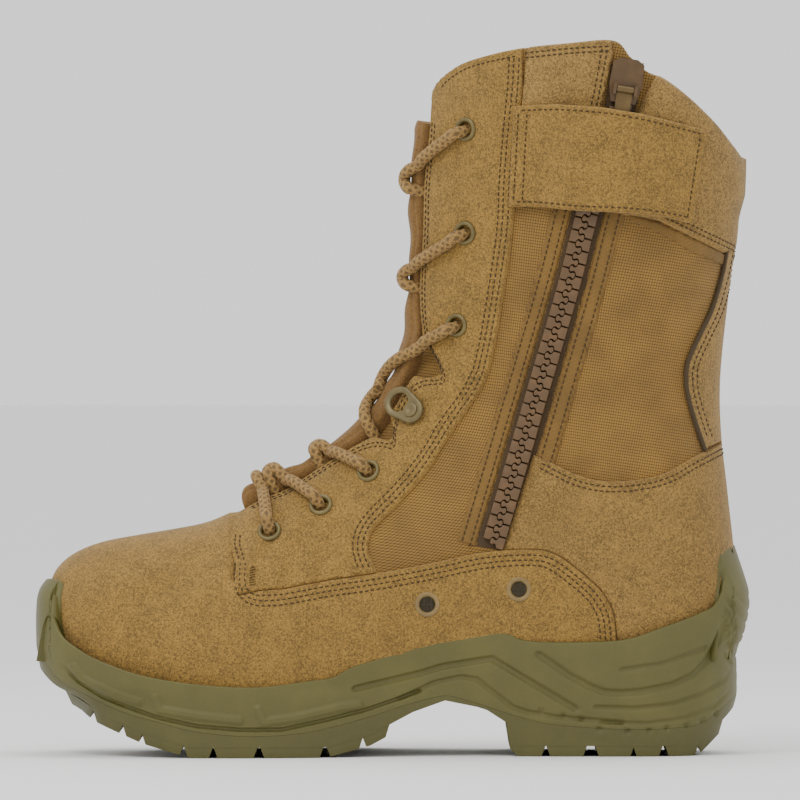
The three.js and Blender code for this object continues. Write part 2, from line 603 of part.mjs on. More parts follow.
// The sole's outer shape, taken in by a distance
function soleShape(inset = 0) {
  const positions = [];
  const index = [];
  const rings = SOLE_LEVELS.map((numbers) => {
    const level = Object.fromEntries(SOLE_LEVEL_COLUMNS.map((name, i) => [name, numbers[i]]));
    const z = placeLow(level.low) + level.up * UPPER_HEIGHT;
    const ring = [];
    for (let k = 0; k < 2 * OUTLINE_STEPS; k++) {
      const side = k < OUTLINE_STEPS ? -1 : 1;
      const u = side < 0 ? k / OUTLINE_STEPS : 2 - k / OUTLINE_STEPS;
      const row = rowAt(PLAN, PLAN_COLUMNS, u);
      const share = THREE.MathUtils.lerp(level.toeWidth, level.heelWidth, row.along);
      const half = Math.max(side < 0 ? row.inner : row.outer, 0) * share;
      const x = placeX(THREE.MathUtils.lerp(level.toe, level.heel, row.along));
      ring.push([x, ((row.axis + side * half) * BALL_WIDTH) / 2]);
    }
    const count = ring.length;
    return ring.map(([x, y], k) => {
      const before = ring[(k + count - 1) % count];
      const after = ring[(k + 1) % count];
      const length = Math.hypot(after[0] - before[0], after[1] - before[1]);
      const nx = (after[1] - before[1]) / length;
      const ny = -(after[0] - before[0]) / length;
      positions.push(x - nx * inset, y - ny * inset, z);
      return positions.length / 3 - 1;
    });
  });
  const around = rings[0].length;
  for (let i = 0; i + 1 < rings.length; i++) {
    for (let k = 0; k < around; k++) {
      const next = (k + 1) % around;
      index.push(rings[i][k], rings[i][next], rings[i + 1][next]);
      index.push(rings[i][k], rings[i + 1][next], rings[i + 1][k]);
    }
  }
  for (const [ring, upward] of [[rings[0], false], [rings[rings.length - 1], true]]) {
    for (let k = 1; k < OUTLINE_STEPS; k++) {
      const inner = ring[k];
      const outer = ring[around - k];
      const innerNext = ring[k + 1];
      const outerNext = ring[(around - k - 1 + around) % around];
      const faces = [[inner, outerNext, outer], [inner, innerNext, outerNext]];
      for (const [a, b, c] of faces) {
        if (a === b || b === c || c === a) continue;
        if (upward) index.push(a, b, c);
        else index.push(a, c, b);
      }
    }
    if (upward) index.push(ring[0], ring[1], ring[around - 1]);
    else index.push(ring[0], ring[around - 1], ring[1]);
  }
  const geometry = new THREE.BufferGeometry();
  geometry.setAttribute("position", new THREE.BufferAttribute(new Float32Array(positions), 3));
  geometry.setIndex(index);
  return solid(geometry);
}

const outerForm = form(0, 2);
const seatForm = form(SEAT, 2);
const liningForm = form(LINING, 8);
const soleBlock = soleShape();
const soleCore = soleShape(SIDE_GROOVE_DEPTH);
const partingLine = lower(PARTING_LINE);

// Midsole: the side unit between the parting line and the rubber line, hollowed for the upper
{
  const rubberLine = upper(RUBBER_LINE);
  let body = soleBlock.intersect(
    sidePrism(band(partingLine.map(([x, z]) => [x, z + CLEARANCE]), rubberLine)),
  );
  const aboveDeck = sidePrism([...deckLine(-CLEARANCE), [beyondHeel, sky], [beyondToe, sky]]);
  body = body.subtract(form(CLEARANCE, 4).intersect(aboveDeck));
  for (const { unit, outline } of Object.values(SIDE_GROOVES)) {
    body = body.subtract(sidePrism(unit(outline)).subtract(soleCore));
  }
  add("midsole", geometryOf(largest(body)), rubber());
}

// Outsole: the plate under the parting line with its lugs
function treadHeight(x) {
  const line = lower(TREAD_LINE);
  const k = Math.max(line.findIndex((p) => p[0] > x), 1);
  const [x0, z0] = line[k - 1];
  const [x1, z1] = line[k];
  return z0 + ((z1 - z0) * (x - x0)) / (x1 - x0);
}
{
  const bottom = [];
  for (const [start, end] of LUGS) {
    const x0 = placeX(start);
    const x1 = placeX(end);
    const draft = TREAD_DEPTH * FAR;
    bottom.push([x0 - draft, treadHeight(x0) + TREAD_DEPTH]);
    bottom.push([x0, treadHeight(x0)]);
    bottom.push([x1, treadHeight(x1)]);
    bottom.push([x1 + draft, treadHeight(x1) + TREAD_DEPTH]);
  }
  bottom.push([placeX(1.02), placeLow(0.55)]);
  let body = soleBlock.intersect(sidePrism(band(bottom, partingLine)));
  const channelTop = lower(TREAD_LINE).map(([x, z]) => [x, z + TREAD_DEPTH]);
  const channel = sidePrism([...channelTop, [beyondHeel, underFloor], [beyondToe, underFloor]]);
  const strip = new THREE.BoxGeometry(BOOT_LENGTH * 0.9, TREAD_CHANNEL, 4 * SOLE_HEIGHT);
  body = body.subtract(channel.intersect(solid(strip)));
  add("outsole", geometryOf(largest(body)), rubber());
}

// The throat between the facings, worked out in the form's own sections so that its edges are square
// to the surface, and the band of it that a piece inside the throat may fill
const throatPlaces = THROAT_EDGE.map((point) => sectionPlace(point, -1)).sort((p, q) => p.u - q.u);
const throatFront = throatPlaces[0].u;
const throatTop = throatPlaces[throatPlaces.length - 1].u;
function throatReach(u) {
  const k = Math.max(throatPlaces.findIndex((p) => p.u > u), 1);
  const [p, q] = u > throatTop ? throatPlaces.slice(-2) : [throatPlaces[k - 1], throatPlaces[k]];
  return THREE.MathUtils.lerp(p.a, q.a, THREE.MathUtils.clamp((u - p.u) / (q.u - p.u), 0, 1));
}
const throatOpening = plate({
  us: [...throatPlaces.map((p) => p.u), 1],
  from: (u) => -throatReach(u),
  to: throatReach,
  columns: 4,
  low: LINING - TONGUE_THICKNESS,
  high: CUFF_PADDING + TONGUE_THICKNESS,
});
const aboveCollar = sidePrism([...collarLine, ...upper([[1.03, 1.3], [0.5, 1.3]])]);

// The zip's line down the inner side, with its place and direction at a distance from its top
const zipPath = smoothLine(upper(ZIP_LINE), 12);
const zipBand = (width) =>
  sidePrism(band(besides(zipPath, width / 2), besides(zipPath, -width / 2)), -1);
const ZIP_SEAT = SEAT - ZIP_TAPE_THICKNESS;
const zipRecess = zipBand(ZIP_TAPE_WIDTH + 2 * CLEARANCE).subtract(form(ZIP_SEAT - CLEARANCE, 2));

// Pins that cut the holes of eyelets, hooks and vents square to the surface
const PIN_SIDES = 8;
function pinThrough(frame, radius, from, to) {
  const corner = radius / Math.cos(Math.PI / PIN_SIDES);
  const pin = new THREE.CylinderGeometry(corner, corner, to - from, PIN_SIDES);
  pin.rotateX(Math.PI / 2);
  pin.translate(0, 0, (from + to) / 2);
  return solid(pin.applyMatrix4(frame));
}
const eyeletPlaces = EYELETS.map((point) => sectionPlace(point, -1));
const barrelRadius = EYELET_HOLE / 2 + EYELET_WALL;
const eyeletPins = [-1, 1].map((side) =>
  eyeletPlaces.map((place) =>
    pinThrough(surfaceFrame(place, side), barrelRadius + CLEARANCE, 2 * LINING, SUEDE),
  ),
);
const ventPlaces = Object.entries(VENTS).map(([name, point]) => [name, sectionPlace(point, -1)]);
const ventPins = ventPlaces.map(([, place]) =>
  pinThrough(surfaceFrame(place, -1), VENT_DIAMETER / 2 + CLEARANCE, -SUEDE - CLEARANCE, SUEDE),
);

// Upper: the hollow wall, thicker where the vamp and its wings lie on it
{
  const vampOutline = [
    ...upper([[0.285, 0.26]]),
    ...eyestayFront,
    ...wingEdge,
    ...upper([[0.815, -0.3], [-0.1, -0.3], [-0.1, 0.26]]),
  ];
  const vamp = outerForm.intersect(sidePrism(vampOutline));
  const aboveDeck = sidePrism([...deckLine(0), [beyondHeel, sky], [beyondToe, sky]]);
  let body = seatForm.add(vamp).intersect(aboveDeck).subtract(liningForm);
  for (const cut of [throatOpening, aboveCollar, zipRecess, ...eyeletPins.flat(), ...ventPins]) {
    body = body.subtract(cut);
  }
  add("upper", geometryOf(largest(body)), nylon());
}

// Insole: the footbed on the deck, inside the lining
{
  const inside = form(LINING - CLEARANCE, 8);
  const slab = sidePrism(band(deckLine(0), deckLine(INSOLE_THICKNESS)));
  add("insole", geometryOf(largest(inside.intersect(slab))), darkSuede());
}

// Tongue: gussets under the facings and a padded middle that swells out between them
const TONGUE_PROFILE_COLUMNS = ["half", "swell"];
const TONGUE_PROFILE = [
  [0.052, 0.9], [0.06, 0.72], [0.06, 0.46], [0.085, 0.37], [0.1, 0.29], [0.11, 0.2], [0.11, 0.12],
  [0.08, 0.14], [0.075, 0.21], [0.075, 0.28], [0.075, 0.34], [0.077, 0.38], [0.075, 0.42],
];
const TONGUE_SWELL = 7;
const tongueFront = throatFront + 0.006;
const tongueTop = sectionPlace([0.553, 0.862], -1).u;
function tongueRow(u) {
  const share = (u - tongueFront) / (tongueTop - tongueFront);
  return rowAt(TONGUE_PROFILE, TONGUE_PROFILE_COLUMNS, share);
}
const tongueSteps = (from, to, count) =>
  Array.from({ length: count + 1 }, (_, i) => THREE.MathUtils.lerp(from, to, i / count));
{
  const gussetTop = LINING - GUSSET_DROP;
  const gussetHalf = (u) => throatReach(u) + 0.05;
  const gussets = plate({
    us: tongueSteps(throatFront - 0.04, tongueTop, 14),
    from: (u) => -gussetHalf(u),
    to: gussetHalf,
    columns: 4,
    low: gussetTop - TONGUE_THICKNESS,
    high: gussetTop,
  });
  const noseLength = 0.014;
  const crown = (u, share) => {
    const nose = Math.min((u - tongueFront) / noseLength, 1);
    const round = Math.sqrt(Math.max(1 - (2 * share - 1) ** 4, 0));
    return round * Math.sqrt(Math.max(1 - (1 - nose) ** 2, 0));
  };
  const padStart = tongueFront + noseLength;
  const pad = plate({
    us: [tongueFront, tongueFront + noseLength / 4, ...tongueSteps(padStart, tongueTop, 12)],
    from: (u) => -tongueRow(u).half,
    to: (u) => tongueRow(u).half,
    columns: 6,
    low: gussetTop - TONGUE_THICKNESS / 2,
    high: (u, share) => SEAT + (tongueRow(u).swell * TONGUE_SWELL - SEAT) * crown(u, share),
  });
  add("tongue", geometryOf(gussets.add(pad)), darkSuede());
}

// Overlays: suede panels between two surfaces of the form, cut to their outlines in side view
const underSuede = form(-SUEDE, 8);
const suedeSkin = outerForm.subtract(underSuede);
const paddedSkin = form(CUFF_PADDING, 2).subtract(underSuede);
function overlay(name, skin, outline, side, cuts) {
  let body = skin.intersect(sidePrism(outline, side));
  for (const cut of cuts) body = body.subtract(cut);
  add(name, geometryOf(largest(body)), suede());
}
const beside = (points, direction) => besides(points, direction * CLEARANCE);
const wingUnderEyestay = wingEdge.slice(0, 5);
const wingUnderCounter = wingEdge.slice(7);

[["inner", -1], ["outer", 1]].forEach(([name, side], i) => {
  const outline = [
    ...upper([[0.3, 0.3], [0.4, 0.4], [0.45, 1.05]]),
    ...eyestayRear.slice(0, -1),
    ...beside(wingUnderEyestay, 1).reverse(),
    ...beside(eyestayFront, 1).reverse(),
  ];
  const cuts = [throatOpening, aboveCollar, ...eyeletPins[i]];
  overlay("eyestay_" + name, suedeSkin, outline, side, cuts);
});

// Heel counter, with its front edge beside the zip and under the wing's end
{
  const top = upper(COUNTER_TOP);
  const outline = [
    ...top,
    [beyondHeel, placeUp(-FAR)],
    ...upper([[0.82, -FAR]]),
    ...beside(wingUnderCounter, 1).reverse(),
  ];
  const belowDeck = sidePrism([...deckLine(0), [beyondHeel, underFloor], [beyondToe, underFloor]]);
  overlay("heel_counter", suedeSkin, outline, 0, [belowDeck]);
}

// Back strip, between the collar's padding and the counter
const stripEdge = upper(BACK_STRIP_EDGE);
const cuffLow = upper(CUFF_LOW);
{
  const outline = [
    ...stripEdge,
    ...beside(upper(COUNTER_TOP.slice(-2)), 1),
    [beyondHeel, stripEdge[0][1]],
  ];
  const cuffRoom = sidePrism([
    ...beside(cuffLow, -1),
    [beyondHeel, sky],
    [placeX(0.7), sky],
  ]);
  overlay("back_strip", suedeSkin, outline, 0, [cuffRoom]);
}

// The padded collar, from the zip round the back to the outer facing
{
  const frontInner = upper(CUFF_FRONT_EDGE);
  const frontOuter = beside(upper(CUFF_FRONT_EDGE_OUTER), 1);
  const lowOuter = [[frontOuter[2][0], cuffLow[0][1]], ...cuffLow];
  const half = (front, low, side) => {
    const outline = [...front, ...low, [beyondHeel, sky], [front[0][0], sky]];
    return paddedSkin.intersect(sidePrism(outline, side));
  };
  const body = half(frontInner, cuffLow.slice(1), -1).add(half(frontOuter, lowOuter, 1));
  const zipRoom = zipBand(ZIP_TAPE_WIDTH);
  add("collar_cuff", geometryOf(largest(body.subtract(aboveCollar).subtract(zipRoom))), suede());
}

// The short front piece of the collar, between the inner facing and the zip
{
  const outline = [
    ...beside(eyestayRear.slice(0, 4), 1).reverse(),
    ...upper(COLLAR_FRONT_REAR_EDGE),
  ];
  const zipRoom = zipBand(ZIP_TAPE_WIDTH);
  overlay("collar_front", suedeSkin, outline, -1, [aboveCollar, zipRoom]);
}

// Zip: its tape in the recess of the upper, and the closed chain of teeth on the tape
{
  const tape = form(SEAT, 2).subtract(form(ZIP_SEAT, 2)).intersect(zipBand(ZIP_TAPE_WIDTH));
  add("zip_tape", geometryOf(largest(tape.subtract(aboveCollar))), nylon());
}
const CHAIN_BOTTOM = SEAT + CLEARANCE;
const CHAIN_TOP = CHAIN_BOTTOM + ZIP_CHAIN_THICKNESS;
const zipCurve = new THREE.CatmullRomCurve3(zipPath.map(([x, z]) => new THREE.Vector3(x, 0, z)));
const zipLength = zipCurve.getLength();
function zipPoint(distance, offset) {
  const share = THREE.MathUtils.clamp(distance / zipLength, 0, 1);
  const p = zipCurve.getPointAt(share);
  const t = zipCurve.getTangentAt(share);
  return [p.x - t.z * offset, p.z + t.x * offset];
}
const [sliderX, sliderZ] = upper([SLIDER_PLACE])[0];
const sliderDistance = Math.hypot(sliderX - zipPath[0][0], sliderZ - zipPath[0][1]);
{
  const start = sliderDistance + SLIDER_LENGTH / 2 + CLEARANCE;
  const count = Math.floor((zipLength - start) / TOOTH_PITCH);
  const half = ZIP_CHAIN_WIDTH / 2;
  const notch = ZIP_CHAIN_WIDTH * 0.16;
  const edge = (side, shift) => {
    const points = [];
    for (let k = 0; k < count; k++) {
      const from = start + k * TOOTH_PITCH;
      const tip = from + TOOTH_PITCH / 2;
      points.push(zipPoint(from, side * (shift ? half - notch : half)));
      points.push(zipPoint(tip, side * (shift ? half : half - notch)));
    }
    return points;
  };
  const outline = sidePrism(band(edge(1, false), edge(-1, true)), -1);
  const chain = form(CHAIN_TOP, 2).subtract(form(CHAIN_BOTTOM, 2)).intersect(outline);
  add("zip_teeth", geometryOf(largest(chain)), mouldedPlastic());
}

// The slider stands at the top of the closed zip, with a cross pin between two cheeks for the pull.
const zipDirection = zipCurve.getTangentAt(sliderDistance / zipLength).negate();
const sliderFrame = surfaceFrame(sectionPlace(SLIDER_PLACE, -1), -1, CHAIN_BOTTOM, zipDirection);
const PIN_RADIUS = 0.75;
const KNUCKLE_RADIUS = 1.6;
const CHEEK = 1.4;
const pinHeight = SLIDER_THICKNESS + KNUCKLE_RADIUS + CLEARANCE;
const pinAlong = -SLIDER_LENGTH * 0.2;
const roundPin = (radius, length) => {
  const pin = new THREE.CylinderGeometry(radius, radius, length, 12);
  pin.rotateZ(Math.PI / 2);
  pin.translate(0, pinAlong, pinHeight);
  return pin;
};
const extruded = (points, depth) =>
  new THREE.ExtrudeGeometry(new THREE.Shape(points.map(([x, y]) => new THREE.Vector2(x, y))), {
    depth,
    bevelEnabled: false,
  });
{
  const w = SLIDER_WIDTH / 2;
  const l = SLIDER_LENGTH / 2;
  const shield = [
    [-w * 0.75, -l], [w * 0.75, -l], [w, -l * 0.2], [w * 0.95, l * 0.8], [w * 0.5, l], [-w * 0.5, l],
    [-w * 0.95, l * 0.8], [-w, -l * 0.2],
  ];
  let body = solid(extruded(shield, SLIDER_THICKNESS));
  for (const side of [-1, 1]) {
    const cheek = new THREE.BoxGeometry(CHEEK, 3 * KNUCKLE_RADIUS, 2 * KNUCKLE_RADIUS + 1);
    const across = side * (PULL_WIDTH / 2 + CLEARANCE + CHEEK / 2);
    cheek.translate(across, pinAlong, SLIDER_THICKNESS + KNUCKLE_RADIUS);
    body = body.add(solid(cheek));
  }
  body = body.add(solid(roundPin(PIN_RADIUS, PULL_WIDTH + 2 * CLEARANCE + CHEEK)));
  add("zip_slider", geometryOf(body).applyMatrix4(sliderFrame), mouldedPlastic());
}

// The pull hangs from the pin, behind the flap.
{
  const w = PULL_WIDTH / 2;
  const tab = [
    [-w, 0], [-w * 0.8, -PULL_LENGTH * 0.8], [-w * 0.4, -PULL_LENGTH], [w * 0.4, -PULL_LENGTH],
    [w * 0.8, -PULL_LENGTH * 0.8], [w, 0],
  ];
  const blade = extruded(tab, PULL_THICKNESS);
  blade.translate(0, pinAlong, pinHeight - KNUCKLE_RADIUS);
  const knuckle = solid(roundPin(KNUCKLE_RADIUS, PULL_WIDTH));
  const bore = solid(roundPin(PIN_RADIUS + CLEARANCE, 2 * PULL_WIDTH));
  const body = solid(blade).add(knuckle).subtract(bore);
  add("zip_pull", geometryOf(body).applyMatrix4(sliderFrame), paintedMetal());
}

// Flap: the strap over the zip, sewn on at the facing and closed on the collar
{
  const FLAP_REST = [
    [0.66, CLEARANCE], [0.7, 0.6], [0.75, 5], [0.86, 5.8], [0.94, CUFF_PADDING + 0.5],
  ];
  const rest = (p) => {
    const x = p.x / BOOT_LENGTH + 0.5;
    const k = Math.max(FLAP_REST.findIndex((row) => row[0] > x), 1);
    const [[x0, h0], [x1, h1]] = x > 0.94 ? FLAP_REST.slice(-2) : FLAP_REST.slice(k - 1, k + 1);
    return THREE.MathUtils.lerp(h0, h1, THREE.MathUtils.clamp((x - x0) / (x1 - x0), 0, 1));
  };
  const skin = form((p) => rest(p) + FLAP_THICKNESS, 2).subtract(form(rest, 2));
  overlay("zip_flap", skin, upper(FLAP_OUTLINE), -1, []);
}

// Eyelets: a rolled flange on the facing and a barrel through it
const EYELET_SIDES = 10;
function ringProfile(inside, outside, flange, rise, depth) {
  return [
    [inside, -depth], [outside, -depth], [outside, 0], [flange, 0], [flange * 0.9, rise],
    [inside, rise * 0.5], [inside, -depth],
  ].map(([x, y]) => new THREE.Vector2(x, y));
}
[["inner", -1], ["outer", 1]].forEach(([name, side]) => {
  eyeletPlaces.forEach((place, i) => {
    const profile = ringProfile(EYELET_HOLE / 2, barrelRadius, EYELET_FLANGE / 2, EYELET_RISE, -LINING);
    const ring = new THREE.LatheGeometry(profile, EYELET_SIDES);
    ring.rotateX(Math.PI / 2);
    ring.applyMatrix4(surfaceFrame(place, side, EYELET_STAND));
    add("eyelet_" + name + "_" + (i + 1), ring, paintedMetal());
  });
});

// Speed hooks: an egg-shaped plate on a rivet, its wide end with the lace hole over the throat
const hookPlace = sectionPlace(HOOK_PLACE, -1);
const HOOK_DIRECTION = new THREE.Vector3(-0.83, 0, 0.56);
[["inner", -1], ["outer", 1]].forEach(([name, side]) => {
  const rear = HOOK_WIDTH * 0.4;
  const wide = HOOK_WIDTH / 2;
  const reach = HOOK_LENGTH - rear - wide;
  const egg = new THREE.Shape();
  egg.absarc(0, reach, wide, 0, Math.PI);
  egg.absarc(0, 0, rear, Math.PI, 2 * Math.PI);
  const hole = new THREE.Path();
  hole.absarc(0, reach, HOOK_HOLE / 2, 0, 2 * Math.PI, true);
  egg.holes.push(hole);
  const plateBody = new THREE.ExtrudeGeometry(egg, {
    depth: HOOK_THICKNESS,
    bevelEnabled: false,
    curveSegments: 6,
  });
  plateBody.translate(0, 0, HOOK_STAND);
  const rivet = new THREE.CylinderGeometry(rear * 0.5, rear * 0.5, HOOK_STAND + HOOK_THICKNESS, 8);
  rivet.rotateX(Math.PI / 2);
  rivet.translate(0, 0, (HOOK_STAND + HOOK_THICKNESS) / 2);
  const body = solid(plateBody).add(solid(rivet));
  const frame = surfaceFrame(hookPlace, side, EYELET_STAND, HOOK_DIRECTION);
  add("speed_hook_" + name, geometryOf(body).applyMatrix4(frame), paintedMetal());
});

// Drain vents: a ring with its mesh disc, pressed into the vamp's wing
ventPlaces.forEach(([name, place]) => {
  const flange = VENT_DIAMETER / 2;
  const profile = [
    [0, 0], [flange, 0], [flange, SUEDE * 0.8], [flange * 0.85, SUEDE + VENT_RISE],
    [VENT_HOLE / 2, SUEDE * 0.7], [0, SUEDE * 0.6],
  ].map(([x, y]) => new THREE.Vector2(x, y));
  const ring = new THREE.LatheGeometry(profile, 14);
  ring.rotateX(Math.PI / 2);
  ring.applyMatrix4(surfaceFrame(place, -1, CLEARANCE - SUEDE));
  add("drain_vent_" + name, ring, paintedMetal());
});

// Lace: from each eyelet over the facing's edge, across the tongue to the other side's row below
const laceRadius = LACE_DIAMETER / 2;
const LACE_STEPS = 6;
function laceStrand(from, to, heights, stand = LACE_STAND) {
  const points = heights.map(([share, height]) => {
    const u = THREE.MathUtils.lerp(from.u, to.u, share);
    const a = THREE.MathUtils.lerp(from.a, to.a, share);
    const overTongue = tongueRow(u).swell * TONGUE_SWELL + stand + laceRadius;
    return raised(u, a, height === "tongue" ? overTongue : height);
  });
  const circle = new THREE.Shape();
  circle.absarc(0, 0, laceRadius, 0, 2 * Math.PI);
  return solid(
    new THREE.ExtrudeGeometry(circle, {
      extrudePath: new THREE.CatmullRomCurve3(points),
      steps: LACE_STEPS,
      curveSegments: 4,
      bevelEnabled: false,
    }),
  );
}

{
  const rows = [...eyeletPlaces.slice(0, 3), hookPlace, ...eyeletPlaces.slice(3)];
  const overFlange = EYELET_STAND + EYELET_RISE + laceRadius + 4 * CLEARANCE;
  const overFacing = laceRadius + LACE_STAND;
  const heights = [[0, overFlange], [0.28, overFacing], [0.5, "tongue"], [0.78, "tongue"]];
  const allOverTongue = heights.map(([share]) => [share, "tongue"]);
  const signed = (place, side) => ({ u: place.u, a: side * place.a });
  const bar = laceStrand(signed(rows[0], -1), signed(rows[0], 1), [
    [0, overFlange], [0.25, overFacing], [0.5, "tongue"], [0.75, overFacing], [1, overFlange],
  ]);
  add("lace_bar", geometryOf(bar), braid());
  for (let k = 1; k < rows.length; k++) {
    const fromHook = rows[k] === hookPlace;
    const strands = [-1, 1].map((side) => {
      const start = { u: rows[k].u, a: side * rows[k].a * (fromHook ? 0.5 : 1) };
      const end = { u: rows[k - 1].u, a: -side * rows[k - 1].a };
      return fromHook
        ? laceStrand(start, end, allOverTongue, LACE_STAND - 2 * CLEARANCE)
        : laceStrand(start, end, heights);
    });
    add("lace_cross_" + k, geometryOf(strands[0].add(strands[1])), braid());
  }
}

export default boot;
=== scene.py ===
"""Looks of a right combat boot with an inner side zip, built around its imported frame.

Sizes in the code are millimetres in the row frame until a mesh is made. The toe points to -X and the
inner (zip) side to -Y. A place on the upper is (u, s): u picks a section from the toe up to the
collar, s runs from the crest (0) to the sole or the back (-1 on the inner side, 1 on the outer).
"""
import math

import bmesh
import bpy
import numpy as np
from bpy.props import FloatProperty, FloatVectorProperty, PointerProperty
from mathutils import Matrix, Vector
from mathutils.geometry import delaunay_2d_cdt
from mathutils.kdtree import KDTree


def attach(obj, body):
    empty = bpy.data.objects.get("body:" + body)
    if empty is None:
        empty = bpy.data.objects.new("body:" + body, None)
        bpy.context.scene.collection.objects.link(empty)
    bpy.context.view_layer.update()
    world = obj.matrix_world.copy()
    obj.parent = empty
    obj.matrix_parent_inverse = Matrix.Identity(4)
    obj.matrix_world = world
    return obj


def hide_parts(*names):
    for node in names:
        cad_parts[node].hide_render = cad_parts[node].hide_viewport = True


bl_info = {
    "name": "Combat boot looks",
    "version": (1, 0, 0),
    "blender": (4, 5, 0),
    "location": "View3D > Sidebar > Boot",
    "description": "Suede, nylon, rubber, zip and laces of a combat boot on its frame",
    "category": "Object",
}

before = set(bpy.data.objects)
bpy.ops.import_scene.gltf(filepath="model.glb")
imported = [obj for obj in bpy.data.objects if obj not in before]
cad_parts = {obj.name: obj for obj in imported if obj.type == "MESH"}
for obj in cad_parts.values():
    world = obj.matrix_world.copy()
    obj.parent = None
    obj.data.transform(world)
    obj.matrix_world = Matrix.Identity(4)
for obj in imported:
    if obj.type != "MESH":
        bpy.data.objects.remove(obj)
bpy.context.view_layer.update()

MM = 0.001
BOOT_LENGTH = 305.0
SOLE_HEIGHT = 48.6
UPPER_HEIGHT = 255.8
BALL_WIDTH = 112.0
SHAFT_WIDTH = 98.0
SEAT = -1.9
LINING = -4.1
TONGUE_SWELL = 7.0
HOOK_STAND = 0.45
FRAYED_RIM = 0.99
TOOTH_PITCH = 5.5
LACE_SIDES = 26
LACE_BRAID = 0.26

TREAD_DEPTH = 4.5
TREAD_CHANNEL = 7.0
LUG_DRAFT = 2.0

# The photograph: its side in pixels, mm to a pixel, and the pixel of the boot's middle and its ground
PHOTO_SIDE = 800
PIXEL = 0.43
PHOTO_MIDDLE = 391.5
PHOTO_GROUND = 753
CAMERA_RISE = 0.4
CAMERA_DISTANCE = 4200.0
FLOOR = 20000.0
ROOM_LIGHT = 1.2
# Lamps: name, place and side in mm, and power in watts
LAMPS = [("key", (-600, -900, 1250), 500, 8.0), ("top", (100, 100, 1300), 600, 4.0)]

# Soft creases in the side view: centre x and z, angle, half length, half width and depth, in mm
CREASES = [(-52, 92, 62, 16, 2.6, -0.7), (-42, 84, 70, 20, 3.0, -0.6), (-30, 80, 75, 18, 2.6, -0.5),
           (18, 150, 20, 26, 3.4, -0.7), (24, 136, 12, 22, 3.0, -0.5), (92, 190, -8, 26, 4.0, -0.5),
           (88, 160, 8, 22, 3.5, -0.4), (118, 128, -20, 18, 3.2, -0.5), (-92, 74, 30, 26, 6.0, -0.5)]
